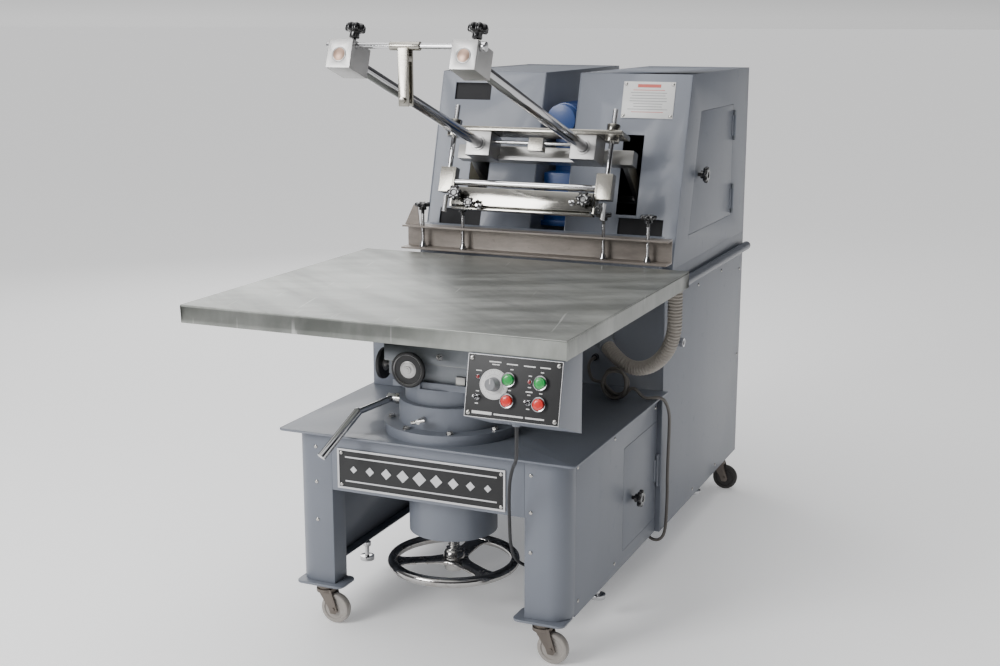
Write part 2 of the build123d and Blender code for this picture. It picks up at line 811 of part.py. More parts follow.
def head_point(x, a, b):
    y = head_y - a * math.cos(tilt) + b * math.sin(tilt)
    z = head_z + a * math.sin(tilt) + b * math.cos(tilt)
    return (x, y, z)


def head_place(x, a, b):
    # local X stays X, local Y points back along the rods and local Z is square to them
    return Location(head_point(x, a, b), (-head_tilt, 0, 0))


def head_block(x0, x1, a0, a1, b0, b1):
    middle = head_place((x0 + x1) / 2, (a0 + a1) / 2, (b0 + b1) / 2)
    return middle * Box(abs(x1 - x0), abs(a1 - a0), abs(b1 - b0))


def head_rod(start, end, radius):
    return rod(head_point(*start), head_point(*end), radius)


def arm_rods():
    rods = both_sides(head_rod((rod_x, yoke_start + rod_socket, 0), (rod_x, rod_end, 0), rod_radius))
    reach = rod_x + end_block_half
    cross = head_rod((-reach - 14, cross_rod_a, cross_rod_b), (reach + 6, cross_rod_a, cross_rod_b),
                     cross_rod_radius)
    nut = head_rod((reach + 0.5, cross_rod_a, cross_rod_b), (reach + 12, cross_rod_a, cross_rod_b), 11)
    return rods + [cross + nut]


def end_blocks():
    end = end_block_start + end_block_length
    body = head_block(rod_x - end_block_half, rod_x + end_block_half, end_block_start, end,
                      -end_block_low, end_block_high)
    body -= head_rod((rod_x, 0, 0), (rod_x, rod_end, 0), rod_radius)
    body -= head_rod((0, cross_rod_a, cross_rod_b), (400, cross_rod_a, cross_rod_b), cross_rod_radius)
    hole_low = end_block_high - end_knob_stud - 1
    body -= head_rod((rod_x, end_knob_a, hole_low), (rod_x, end_knob_a, end_block_high * 2), end_knob_hole)
    plug = head_rod((rod_x, rod_end, 0), (rod_x, end + 0.5, 0), rod_radius + 2)
    return both_sides(body - plug, plug)


def end_knob(side):
    x = side * rod_x
    knob = star_knob(head_place(x, end_knob_a, end_block_high + slide_gap), end_knob_radius, 34, 18)
    stud_low = end_block_high - end_knob_stud
    stud = head_rod((x, end_knob_a, stud_low), (x, end_knob_a, end_block_high + 10), end_knob_hole - run_gap)
    return [knob + stud]


def yoke():
    bar = head_block(-yoke_half, yoke_half, yoke_start, yoke_start + yoke_length,
                     -yoke_half_height, yoke_half_height)
    for x in (-rod_x, rod_x):
        bar -= head_rod((x, yoke_start + rod_socket, 0), (x, 200, 0), rod_radius)
    return [bar] + head_arms()


def head_arms():
    # plates from the yoke back through the housing slots to the pivot shaft
    top_front = head_point(0, yoke_start, yoke_half_height)[1:]
    low_front = head_point(0, yoke_start, -yoke_half_height)[1:]
    half = 24
    outline = [top_front, (pivot_y + 4, pivot_z + half), (pivot_y + half, pivot_z + 4),
               (pivot_y + half, pivot_z - 14), (pivot_y + 6, pivot_z - half),
               (pivot_y - 14, pivot_z - half), low_front]
    plate = side_prism(outline, arm_x - arm_thick / 2, arm_x + arm_thick / 2)
    plate -= rod((0, pivot_y, pivot_z), (400, pivot_y, pivot_z), pivot_radius)
    return both_sides(plate)


def pivot_shaft():
    reach = arm_x + arm_thick / 2 + 10
    return [rod((-reach, pivot_y, pivot_z), (reach, pivot_y, pivot_z), pivot_radius)]


def hang_lever():
    # two straps that hang from a sleeve on the cross rod, with a pin through their lower ends
    _, y, z = head_point(0, cross_rod_a, cross_rod_b)
    sleeve = ring((-37, y, z), (37, y, z), 10, cross_rod_radius + run_gap)
    clear = rod((-60, y, z), (60, y, z), 9)
    half = strap_half
    strap = block(-half, half, y - 14, y - 8, z - lever_length, z - 4)
    rear_strap = block(-half, half, y + 8, y + 14, z - lever_length, z - 4)
    bridge = block(-half, half, y - 8, y + 8, z - 34, z - 22)
    pin = rod((0, y - 22, z - lever_length + 14), (0, y + 22, z - lever_length + 14), 7)
    return [sleeve + ((strap + rear_strap + bridge) - clear) + pin]


def carriage():
    end = guide_block_start + guide_block_length
    body = head_block(rod_x - guide_block_half, rod_x + guide_block_half, guide_block_start, end,
                      -guide_block_high, guide_block_high)
    body -= head_rod((rod_x, 0, 0), (rod_x, 400, 0), rod_radius + run_gap)
    seal_low, seal_high = rod_radius + run_gap, rod_radius + 6
    seal = ring(head_point(rod_x, end, 0), head_point(rod_x, end + 3, 0), seal_high, seal_low)
    inner = rod_x - guide_block_half
    tie = head_block(-inner, inner, guide_block_start, guide_block_start + 14, -30, -18)
    rail = head_rod((-inner, end - 22, 10), (inner, end - 22, 10), 5)
    middle = head_block(-10, 34, end - 34, end - 10, -14, 24) - rail
    return both_sides(body, seal) + [tie, rail, middle]


def bridge():
    low = guide_block_high
    bar = head_block(-bridge_half_width, bridge_half_width, spindle_a - 60, spindle_a + 14,
                     low, low + bridge_thick)
    for x in (-spindle_x, spindle_x):
        bar -= head_rod((x, spindle_a, low - 9), (x, spindle_a, low + 40), spindle_radius)
    spindle = head_rod((spindle_x, spindle_a, cheek_high - 60), (spindle_x, spindle_a, 106), spindle_radius)
    collar_top = ring(head_point(spindle_x, spindle_a, low + bridge_thick),
                      head_point(spindle_x, spindle_a, low + 30), 18, spindle_radius)
    collar_low = ring(head_point(spindle_x, spindle_a, low), head_point(spindle_x, spindle_a, low - 18),
                      20, spindle_radius)
    return [bar] + both_sides(spindle, collar_top, collar_low)


def squeegee_holder():
    cheek = head_block(spindle_x - cheek_half, spindle_x + cheek_half, spindle_a - 14, spindle_a + 14,
                       cheek_low + 40, cheek_high)
    cheek -= head_rod((spindle_x, spindle_a, cheek_low - 60), (spindle_x, spindle_a, 106),
                      spindle_radius + run_gap)
    inner = spindle_x - cheek_half
    plate = head_block(inner - 6, inner, spindle_a - 12, spindle_a + 14, cheek_low, cheek_high)
    bar = head_rod((-inner + 6, spindle_a + 4, -112), (inner - 6, spindle_a + 4, -112), 9)
    knob_place = head_place(spindle_x - 44, spindle_a + 21, -150) * Rot(90, 0, 0)
    knob = star_knob(knob_place, 22, 20, 8)
    return both_sides(cheek, plate, knob) + [bar]


def squeegee_blade():
    half = spindle_x - cheek_half - 6 - slide_gap
    plate = head_block(-half, half, spindle_a + 13, spindle_a + 20, -178, -128)
    angle = head_block(-half, half, spindle_a - 12, spindle_a + 12.7, -188, -182)
    blade = head_block(-half + 10, half - 10, spindle_a + 1, spindle_a + 9, -182, -132)
    return [plate, angle + blade]


# ---- frame clamp

def frame_channel():
    half, rear = channel_half_width, cabinet_front
    front = channel_front
    web = block(-half, half, rear - channel_thick, rear, channel_bottom, channel_top)
    low = block(-half, half, front - 8, rear - channel_thick, channel_bottom, channel_bottom + channel_thick)
    top = block(-half, half, front, rear - channel_thick, channel_top - channel_thick, channel_top)
    for x in clamp_positions:
        top -= Pos(x, clamp_y, channel_top) * Cylinder(clamp_radius + run_gap, channel_thick * 4)
    inner = cabinet_half_width - 20
    backing = block(-inner, inner, rear, rear + 34, cabinet_height, channel_top)
    return [web + low + top, backing]


def frame_clamp(x):
    shank_low = channel_bottom + channel_thick + 14 + slide_gap
    place = Location((x, clamp_y, channel_top + 34))
    shank = rod((x, clamp_y, shank_low), (x, clamp_y, channel_top + 36), clamp_radius)
    foot = Pos(x, clamp_y, channel_bottom + channel_thick + slide_gap + 7) * Cone(11, clamp_radius, 14)
    return [star_knob(place, clamp_knob_radius, 22, 10) + shank + foot]


# ---- casters and feet

def caster_plates():
    pieces = []
    for x, y in caster_centres.values():
        plate = block(x - 30, x + 30, y - 30, y + 30, caster_height - 4, caster_height)
        pieces.append(plate + Pos(x, y, race_low + 6) * Cylinder(22, 12))
    return pieces


def caster_fork(x, y):
    crown_top = race_low - slide_gap
    crown_low = wheel_radius * 2 + 3
    fork = Pos(x, y, (crown_top + crown_low) / 2) * Cylinder(25, crown_top - crown_low)
    axle_x = x + caster_trail
    points = [(x - 18, crown_top), (x + 22, crown_top), (axle_x + 12, wheel_radius - 4),
              (axle_x + 6, wheel_radius - 12), (axle_x - 8, wheel_radius - 12),
              (axle_x - 14, wheel_radius + 4)]
    for start in (y + wheel_width / 2 + 2, y - wheel_width / 2 - 2 - fork_thick):
        outline = Plane.XZ.offset(-start) * Polygon(*points, align=None)
        fork += extrude(outline, amount=fork_thick, dir=(0, 1, 0))
    reach = wheel_width / 2 + 2 + fork_thick + 3
    return [fork + rod((axle_x, y - reach, wheel_radius), (axle_x, y + reach, wheel_radius), axle_radius)]


def caster_wheel(x, y):
    centre = x + caster_trail
    half = wheel_width / 2
    wheel = ring((centre, y - half, wheel_radius), (centre, y + half, wheel_radius), wheel_radius,
                 axle_radius + run_gap)
    return [chamfer(wheel.edges().filter_by(GeomType.CIRCLE).sort_by(SortBy.RADIUS)[-2:], 3)]


def leveling_feet():
    pieces = []
    for y in level_foot[1:]:
        stud = Pos(level_foot[0], y, caster_height - 20) * Cylinder(6, 40)
        pad = Pos(level_foot[0], y, caster_height - 46) * Cylinder(20, 12)
        nut = Pos(level_foot[0], y, caster_height - 6) * Cylinder(11, 12)
        pieces += both_sides(stud + pad + nut)
    return pieces


# ---- plates and screws

def nameplates():
    badge = block(*badge_x, body_front - 3, body_front, plate_bottom - apron_height + 9, plate_bottom - 34)
    middle = housing_height - 71
    half = 50
    points = [(slope_y(z) + step, z) for z, step in
              ((middle - half, -2), (middle + half, -2), (middle + half, 0), (middle - half, 0))]
    return [badge, side_prism(points, *plate_x)]


def side_screw(x, y, z):
    return rod((x, y, z), (x + screw_proud, y, z), screw_radius)


def panel_screws():
    screws = []
    for step, z in side_screws:
        screws += both_sides(side_screw(body_half, body_front + step, z))
    for step, z in cabinet_screws:
        screws += both_sides(side_screw(cabinet_half_width, cabinet_front + step, z))
    for x in leg_screw_x:
        for z in leg_screw_z:
            screws.append(rod((x, body_front, z), (x, body_front - screw_proud, z), screw_radius))
    return screws


# ---- cords

def arc_radii(points):
    # the arc at each corner is as large as its two runs allow
    radii = []
    for before, corner, after in zip(points, points[1:], points[2:]):
        first = Vector(*corner) - Vector(*before)
        second = Vector(*after) - Vector(*corner)
        turn = math.radians(first.get_angle(second))
        radii.append(0.45 * min(first.length, second.length) / math.tan(turn / 2))
    return radii


def cord_tube(name, points, radius):
    radii = arc_radii(points)
    path = FilletPolyline(*points, radius=radii)
    start = Plane(origin=points[0], z_dir=Vector(*points[1]) - Vector(*points[0]))
    tube = sweep(start * Circle(radius), path=path)
    print(name, "radii", [round(value) for value in radii], "length", round(path.length),
          "volume ratio", round(tube.volume / (path.length * math.pi * radius ** 2), 4))
    return tube


def cable_coil():
    body = block(coil_low[0], coil_high[0], coil_low[1], coil_high[1], base_height + slide_gap, coil_high[2])
    return [fillet(body.edges().filter_by(Axis.Y), coil_corner)]


def gland(point, outward, radius):
    # a clamp collar round a cord where it leaves a wall
    end = [place + gland_length * way for place, way in zip(point, outward)]
    return ring(point, end, radius + gland_wall, radius + run_gap)


os.makedirs("parts", exist_ok=True)
save("base_top_plate", base_plate())
save("front_legs", *both_sides(*front_leg()))
save("base_panels", *side_panel(True), *mirrored(side_panel(False)), *apron(), cable_entry())
save("lower_cabinet", *cabinet())
save("duct_housing", duct())
save("side_tubes", *both_sides(*side_tube()))
save("housing_left", *housing(-1))
save("housing_right", *housing(1))
save("gear_motor", *gear_motor())
save("vacuum_blower", *vacuum_blower())
save("pedestal_sleeve", *pedestal())
save("nameplates", *nameplates())
save("panel_screws", *panel_screws())
save("frame_channel", *frame_channel())
save("caster_plates", *caster_plates())
save("leveling_feet", *leveling_feet())
save("vacuum_hose", cord_tube("vacuum_hose", hose_route, hose_radius))
save("control_cable", cord_tube("control_cable", control_cable_route, control_cable_radius))
lead = cord_tube("mains_lead", lead_route, mains_radius)
tail = cord_tube("mains_tail", tail_route, mains_radius)
save("mains_cable", lead, tail)
save("cable_coil", *cable_coil())
save("upper_door", *upper_door())
save("lower_door", *lower_door())
for corner, (x, y) in caster_centres.items():
    save(f"caster_fork_{corner}", *caster_fork(x, y))
    save(f"caster_wheel_{corner}", *caster_wheel(x, y))
save("column", *column())
save("lift_handwheel", *lift_handwheel())
save("saddle", *saddle())
save("table", *table())
save("depth_wheel", *depth_wheel())
save("cross_wheel", *cross_wheel())
save("clamp_lever", *clamp_lever())
save("control_box", *control_box())
save("control_panel", *control_panel())
for name, (u, v) in button_places.items():
    save(f"button_{name}", *push_button(u, v))
for name, (u, v) in toggle_places.items():
    save(name, *toggle(u, v))
save("speed_dial", *speed_dial())
save("arm_rods", *arm_rods())
save("end_blocks", *end_blocks())
save("end_knob_left", *end_knob(-1))
save("end_knob_right", *end_knob(1))
save("head_yoke", *yoke(), *pivot_shaft())
save("hang_lever", *hang_lever())
save("carriage_blocks", *carriage())
save("carriage_bridge", *bridge())
save("squeegee_holder", *squeegee_holder())
save("squeegee_blade", *squeegee_blade())
for number, x in enumerate(clamp_positions, start=1):
    save(f"frame_clamp_{number}", *frame_clamp(x))
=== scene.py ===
import bpy
import bmesh
import json
import math
import random
from mathutils import Matrix, Vector
from mathutils.bvhtree import BVHTree


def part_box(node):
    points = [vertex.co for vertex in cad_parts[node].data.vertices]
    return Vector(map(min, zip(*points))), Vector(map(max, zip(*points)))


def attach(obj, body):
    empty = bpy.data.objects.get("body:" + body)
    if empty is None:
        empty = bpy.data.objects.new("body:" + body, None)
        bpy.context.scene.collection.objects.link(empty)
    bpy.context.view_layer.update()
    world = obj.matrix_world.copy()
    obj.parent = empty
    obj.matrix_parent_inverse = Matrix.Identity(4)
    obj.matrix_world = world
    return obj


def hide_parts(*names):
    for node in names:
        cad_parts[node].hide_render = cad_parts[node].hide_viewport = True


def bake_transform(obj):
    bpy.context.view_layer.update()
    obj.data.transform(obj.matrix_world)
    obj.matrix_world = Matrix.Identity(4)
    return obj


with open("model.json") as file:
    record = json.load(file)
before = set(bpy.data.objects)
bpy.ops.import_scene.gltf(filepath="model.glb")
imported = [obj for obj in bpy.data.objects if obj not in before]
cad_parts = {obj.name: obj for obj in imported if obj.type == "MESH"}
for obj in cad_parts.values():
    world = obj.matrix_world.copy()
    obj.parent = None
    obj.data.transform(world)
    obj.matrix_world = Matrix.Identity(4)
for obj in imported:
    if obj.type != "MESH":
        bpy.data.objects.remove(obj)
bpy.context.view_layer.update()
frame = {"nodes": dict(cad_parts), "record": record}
nodes = frame["nodes"]
print("frame loaded,", len(nodes), "nodes")


# ---- shader maths and node building

class Wire:
    # a shader socket that adds, subtracts and multiplies like a number
    def __init__(self, finish, socket):
        self.finish = finish
        self.socket = socket

    def join(self, operation, other):
        return self.finish.node("ShaderNodeMath", {"operation": operation}, {0: self, 1: other})[0]

    def __add__(self, other):
        return self.join("ADD", other)

    def __mul__(self, other):
        return self.join("MULTIPLY", other)

    def __sub__(self, other):
        return self.join("SUBTRACT", other)

    __radd__ = __add__


class Outputs:
    def __init__(self, finish, node):
        self.finish = finish
        self.node = node

    def __getitem__(self, key):
        return Wire(self.finish, socketOf(self.node.outputs, key))


def socketOf(sockets, key):
    if isinstance(key, int):
        return sockets[key]
    for socket in sockets:
        if socket.identifier == key:
            return socket
    return sockets[key]


class Finish:
    # one material and the nodes that make it
    def __init__(self, name):
        self.material = bpy.data.materials.new(name)
        self.material.use_nodes = True
        self.tree = self.material.node_tree
        self.shader = self.tree.nodes["Principled BSDF"]
        self.place = self.node("ShaderNodeTexCoord", {}, {})["Object"]

    def node(self, kind, settings, values):
        made = self.tree.nodes.new(kind)
        for key, value in settings.items():
            if key == "stops":
                self.setStops(made.color_ramp, value)
            else:
                setattr(made, key, value)
        self.fill(made, values)
        return Outputs(self, made)

    def setStops(self, ramp, stops):
        while len(ramp.elements) < len(stops):
            ramp.elements.new(0.5)
        for element, (position, colour) in zip(ramp.elements, stops):
            element.position = position
            element.color = (*colour, 1)

    def fill(self, made, values):
        for key, value in values.items():
            socket = socketOf(made.inputs, key)
            if isinstance(value, Wire):
                self.tree.links.new(value.socket, socket)
            else:
                socket.default_value = value

    def noise(self, scale, detail=4, stretch=None, roughness=0.5, turn=0.0):
        place = self.place
        if stretch:
            angles = (0, 0, math.radians(turn))
            spun = self.node("ShaderNodeMapping", {}, {"Vector": place, "Rotation": angles})["Vector"]
            place = self.node("ShaderNodeMapping", {}, {"Vector": spun, "Scale": stretch})["Vector"]
        values = {"Vector": place, "Scale": scale, "Detail": detail, "Roughness": roughness}
        return self.node("ShaderNodeTexNoise", {}, values)["Fac"]

    def ramp(self, factor, *stops):
        grey = [(position, (value,) * 3) for position, value in stops]
        colour = self.node("ShaderNodeValToRGB", {"stops": grey}, {"Fac": factor})["Color"]
        return self.node("ShaderNodeRGBToBW", {}, {0: colour})[0]

    def blend(self, first, second, factor):
        values = {"A_Color": opaque(first), "B_Color": opaque(second), "Factor_Float": factor}
        return self.node("ShaderNodeMix", {"data_type": "RGBA"}, values)["Result_Color"]

    def bump(self, height, distance, strength=1.0):
        values = {"Height": height, "Distance": distance, "Strength": strength}
        return self.node("ShaderNodeBump", {}, values)["Normal"]

    def done(self, **values):
        self.fill(self.shader, {key.replace("_", " "): value for key, value in values.items()})
        return self.material


def opaque(colour):
    return colour if isinstance(colour, Wire) else (*colour, 1)


# ---- finishes

def shade(colour, factor):
    return tuple(channel * factor for channel in colour)


def paintFinish(name, colour, roughness=0.40, peel=0.00035, coat=0.12):
    f = Finish(name)
    cloud = f.ramp(f.noise(3.0, 5), (0.3, 0.0), (0.75, 1.0))
    scuff = f.ramp(f.noise(28.0, 8, roughness=0.7), (0.60, 0.0), (0.72, 1.0))
    drips = f.ramp(f.noise(9.0, 4, stretch=(1, 1, 0.12)), (0.45, 0.0), (0.85, 1.0))
    tone = f.blend(shade(colour, 0.90), shade(colour, 1.07), cloud)
    tone = f.blend(tone, shade(colour, 0.72), drips * 0.28)
    tone = f.blend(tone, shade(colour, 1.45), scuff * 0.10)
    rough = roughness + scuff * 0.16 + cloud * 0.07
    orangePeel = f.bump(f.noise(420.0, 2), peel, 0.35)
    return f.done(Base_Color=tone, Roughness=rough, Normal=orangePeel, Coat_Weight=coat, Coat_Roughness=0.12)


def metalFinish(name, colour, roughness, grain=(1, 1, 1), depth=0.00004, tarnish=0.12, grainScale=900.0):
    f = Finish(name)
    lines = f.noise(grainScale, 3, stretch=grain)
    cloud = f.ramp(f.noise(11.0, 6), (0.38, 0.0), (0.72, 1.0))
    marks = f.ramp(f.noise(70.0, 8, roughness=0.75), (0.58, 0.0), (0.74, 1.0))
    tone = f.blend(colour, shade(colour, 0.72), cloud * tarnish * 2 + marks * tarnish)
    rough = roughness + lines * roughness * 0.6 + cloud * 0.08 + marks * 0.10 - roughness * 0.3
    return f.done(Base_Color=tone, Metallic=1.0, Roughness=rough, Normal=f.bump(lines, depth, 0.5))


def tableFinish():
    # steel wiped in broad strokes that cross one another
    f = Finish("tableSteel")
    brush = f.noise(34.0, 6, stretch=(0.7, 20, 6), roughness=0.65, turn=-24)
    cloud = f.ramp(f.noise(2.6, 3, roughness=0.5), (0.30, 0.0), (0.72, 1.0))
    wiped = f.noise(3.4, 5, stretch=(0.8, 3.6, 1), roughness=0.6, turn=-24)
    stroke = f.ramp(wiped, (0.40, 0.0), (0.74, 1.0))
    wipedAcross = f.noise(4.2, 5, stretch=(0.5, 3.2, 1), roughness=0.6, turn=38)
    crossing = f.ramp(wipedAcross, (0.46, 0.0), (0.76, 1.0))
    scratch = f.ramp(f.noise(7.0, 2, stretch=(9.0, 0.45, 1), turn=-12), (0.70, 0.0), (0.76, 1.0))
    tone = f.blend((0.150, 0.158, 0.146), (0.29, 0.30, 0.278), cloud)
    tone = f.blend(tone, (0.50, 0.51, 0.485), stroke * 0.75)
    tone = f.blend(tone, (0.12, 0.126, 0.118), crossing * 0.50)
    tone = f.blend(tone, (0.72, 0.72, 0.70), scratch * 0.45)
    rough = 0.30 + stroke * 0.10 + brush * 0.12 + crossing * 0.06
    return f.done(Base_Color=tone, Metallic=0.85, Roughness=rough, Normal=f.bump(brush, 0.0001, 0.4))


def plasticFinish(name, colour, roughness, speckle=0.08, depth=0.00012, coat=0.0, scale=300.0):
    f = Finish(name)
    grain = f.noise(scale, 3)
    wear = f.ramp(f.noise(45.0, 7, roughness=0.7), (0.55, 0.0), (0.75, 1.0))
    tone = f.blend(colour, tuple(min(1, c * 1.5 + 0.02) for c in colour), wear * speckle * 3)
    rough = roughness + wear * 0.14 + grain * 0.06
    return f.done(Base_Color=tone, Roughness=rough, Normal=f.bump(grain, depth, 0.4), Coat_Weight=coat)


def rimFinish():
    # dark chrome that has dulled on the wheel's web
    f = Finish("handwheelChrome")
    rust = f.ramp(f.noise(38.0, 9, roughness=0.72), (0.50, 0.0), (0.66, 1.0))
    tone = f.blend((0.42, 0.41, 0.40), (0.19, 0.15, 0.125), rust * 0.45)
    rough = 0.10 + rust * 0.28
    return f.done(Base_Color=tone, Metallic=1.0, Roughness=rough, Normal=f.bump(rust, 0.0002, 0.4))


def channelFinish():
    f = Finish("channelPaint")
    smear = f.ramp(f.noise(16.0, 8, stretch=(0.5, 1, 1.6), roughness=0.7), (0.4, 0.0), (0.7, 1.0))
    chip = f.ramp(f.noise(60.0, 6, roughness=0.8), (0.62, 0.0), (0.68, 1.0))
    tone = f.blend((0.20, 0.175, 0.155), (0.30, 0.265, 0.235), smear)
    tone = f.blend(tone, (0.11, 0.085, 0.075), chip * 0.5)
    rough = 0.36 + smear * 0.16 + chip * 0.2
    return f.done(Base_Color=tone, Metallic=0.35, Roughness=rough, Normal=f.bump(smear + chip, 0.00018, 0.4))


paintColour = (0.165, 0.181, 0.216)
finishes = {
    "paint": paintFinish("bodyPaint", paintColour),
    "tubePaint": paintFinish("sideTubePaint", shade(paintColour, 0.78), 0.38),
    "blue": paintFinish("motorBlue", (0.012, 0.055, 0.21), 0.32),
    "castGrey": paintFinish("castPaint", (0.20, 0.215, 0.235), 0.45, 0.0009, 0.1),
    "blackPaint": paintFinish("blackPaint", (0.009, 0.009, 0.010), 0.48, 0.0002, 0.0),
    "cream": paintFinish("creamLiner", (0.50, 0.47, 0.38), 0.55, 0.0006, 0.0),
    # near-black matte finish; on the panes behind the housing openings it is painted shade
    "dark": plasticFinish("darkGap", (0.012, 0.012, 0.014), 0.75),
    "table": tableFinish(),
    "chrome": metalFinish("chrome", (0.56, 0.56, 0.57), 0.07, tarnish=0.08),
    "rim": rimFinish(),
    "screw": metalFinish("screwSteel", (0.48, 0.47, 0.45), 0.22),
    "aluminium": metalFinish("satinAluminium", (0.44, 0.435, 0.43), 0.36, (1, 0.05, 1), 0.00008, 0.10),
    "steel": metalFinish("machinedSteel", (0.36, 0.355, 0.34), 0.34, (0.05, 1, 1), 0.00008, 0.2),
    "nickel": metalFinish("nickelPlate", (0.33, 0.315, 0.28), 0.20, (0.06, 1, 1), 0.00006, 0.14),
    "polished": metalFinish("polishedPlate", (0.36, 0.35, 0.32), 0.10, (0.05, 1, 1), 0.00004, 0.08),
    "copper": metalFinish("copperEnd", (0.44, 0.30, 0.235), 0.42, tarnish=0.3),
    "channel": channelFinish(),
    "forkSteel": metalFinish("casterZinc", (0.20, 0.175, 0.155), 0.42, tarnish=0.3),
    "bakelite": plasticFinish("bakelite", (0.008, 0.008, 0.009), 0.10, 0.02, 0.00004, 0.5),
    "wheelNylon": plasticFinish("wheelNylon", (0.33, 0.305, 0.28), 0.42, 0.10, 0.0003, 0.1),
    "wheelRubber": plasticFinish("wheelRubber", (0.045, 0.042, 0.040), 0.62, 0.16, 0.0004),
    "hose": plasticFinish("hosePlastic", (0.34, 0.31, 0.275), 0.46, 0.14, 0.0003),
    "cableBlack": plasticFinish("cableBlack", (0.016, 0.016, 0.018), 0.45, 0.08),
    "cableGrey": plasticFinish("cableGrey", (0.115, 0.105, 0.095), 0.50, 0.16),
    "white": plasticFinish("printedWhite", (0.66, 0.66, 0.65), 0.34, 0.01, 0.00005, 0.1),
    "silver": metalFinish("printedSilver", (0.58, 0.58, 0.59), 0.34, (0.04, 1, 1)),
    "redInk": plasticFinish("redInk", (0.55, 0.10, 0.08), 0.40, 0.02, 0.00005),
    "greyInk": plasticFinish("greyInk", (0.22, 0.22, 0.23), 0.40, 0.02, 0.00005),
    "knobGrey": plasticFinish("knobGrey", (0.20, 0.205, 0.215), 0.34, 0.06, coat=0.2),
    "green": plasticFinish("greenCap", (0.010, 0.30, 0.055), 0.22, 0.03, 0.00005, 0.5),
    "red": plasticFinish("redCap", (0.62, 0.020, 0.015), 0.22, 0.03, 0.00005, 0.5),
    "lampRed": plasticFinish("lampRed", (0.20, 0.008, 0.010), 0.12, 0.02, 0.00005, 0.6),
}
print("finishes made,", len(finishes))


# ---- camera, light and floor

cameraView = {"place": (1.468, -3.533, 1.518), "down": 12.56, "turn": 23.5, "lens": 50.9}
studio = {
    "floorSize": 400, "floorColour": (0.93, 0.93, 0.93), "strength": 0.80, "glow": 0.22,
    # how bright the sky is from the horizon up, and from the left side round to the right
    "upward": [(0.0, (1.15, 1.15, 1.15)), (0.05, (0.50, 0.50, 0.51)), (0.14, (0.17, 0.17, 0.18)),
               (0.52, (0.26, 0.26, 0.27)), (0.74, (1.9, 1.9, 1.9))],
    "sideways": [(0.22, (1.0, 1.0, 1.0)), (0.62, (0.70, 0.70, 0.70)), (0.86, (0.22, 0.22, 0.23))],
}


def makeCamera():
    data = bpy.data.cameras.new("camera")
    data.lens = cameraView["lens"]
    camera = bpy.data.objects.new("camera", data)
    camera.location = cameraView["place"]
    camera.rotation_euler = (math.radians(90 - cameraView["down"]), 0, math.radians(cameraView["turn"]))
    bpy.context.scene.collection.objects.link(camera)
    bpy.context.scene.camera = camera


def makeLight(name, place, target, size, power):
    data = bpy.data.lights.new(name, "AREA")
    data.size = size
    data.energy = power
    light = bpy.data.objects.new(name, data)
    light.location = place
    light.rotation_euler = (Vector(target) - Vector(place)).to_track_quat("-Z", "Y").to_euler()
    bpy.context.scene.collection.objects.link(light)


def makeFloor():
    mesh = bpy.data.meshes.new("floor")
    half = studio["floorSize"] / 2
    corners = [(-half, -half, 0), (half, -half, 0), (half, half, 0), (-half, half, 0)]
    mesh.from_pydata(corners, [], [(0, 1, 2, 3)])
    floor = bpy.data.objects.new("floor", mesh)
    bpy.context.scene.collection.objects.link(floor)
    f = Finish("studioFloor")
    mesh.materials.append(f.done(Base_Color=(*studio["floorColour"], 1), Roughness=0.9,
                                 Emission_Color=(1, 1, 1, 1), Emission_Strength=studio["glow"]))


def makeWorld():
    world = bpy.data.worlds.new("studio")
    world.use_nodes = True
    bpy.context.scene.world = world
    tree = world.node_tree
    place = tree.nodes.new("ShaderNodeTexCoord")
    axes = tree.nodes.new("ShaderNodeSeparateXYZ")
    tree.links.new(place.outputs["Generated"], axes.inputs[0])
    mixed = tree.nodes.new("ShaderNodeMix")
    mixed.data_type = "RGBA"
    mixed.blend_type = "MULTIPLY"
    mixed.inputs["Factor"].default_value = 1
    across = tree.nodes.new("ShaderNodeMapRange")
    across.inputs["From Min"].default_value = -1
    tree.links.new(axes.outputs[0], across.inputs["Value"])
    for factor, stops, target in ((axes.outputs[2], studio["upward"], "A_Color"),
                                  (across.outputs["Result"], studio["sideways"], "B_Color")):
        ramp = tree.nodes.new("ShaderNodeValToRGB")
        while len(ramp.color_ramp.elements) < len(stops):
            ramp.color_ramp.elements.new(0.5)
        for element, (position, colour) in zip(ramp.color_ramp.elements, stops):
            element.position = position
            element.color = (*colour, 1)
        tree.links.new(factor, ramp.inputs[0])
        tree.links.new(ramp.outputs[0], socketOf(mixed.inputs, target))
    tree.links.new(socketOf(mixed.outputs, "Result_Color"), tree.nodes["Background"].inputs["Color"])
    tree.nodes["Background"].inputs["Strength"].default_value = studio["strength"]


makeCamera()
makeFloor()
makeWorld()
makeLight("key", (-2.2, -4.2, 2.6), (0, 0, 0.8), 1.8, 170)
makeLight("top", (-0.6, -0.6, 4.2), (0, 0, 0.8), 3.0, 60)
makeLight("rear", (-3.0, 3.4, 2.6), (0, 0.3, 0.8), 2.0, 50)
print("camera, lights and floor placed")


# ---- mesh helpers

bodyOf = {node: body for body, group in frame["record"]["behaviour"]["bodies"].items() for node in group}
slotOf = {part["node"]: part["material_slot"] for part in frame["record"]["subparts"]}


def finishPiece(name, mesh, body, slotName, names, replaced=(), sharp=38):
    # names are the finishes, in the order of the mesh's material numbers
    for finishName in names:
        mesh.materials.append(finishes[finishName])
    mesh.shade_smooth()
    mesh.set_sharp_from_angle(angle=math.radians(sharp))
    piece = bpy.data.objects.new(name, mesh)
    bpy.context.scene.collection.objects.link(piece)
    if body:
        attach(piece, body)
    if replaced:
        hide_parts(*replaced)
    return piece


def toMesh(shape, name):
    bmesh.ops.recalc_face_normals(shape, faces=shape.faces)
    mesh = bpy.data.meshes.new(name)
    shape.to_mesh(mesh)
    shape.free()
    return mesh


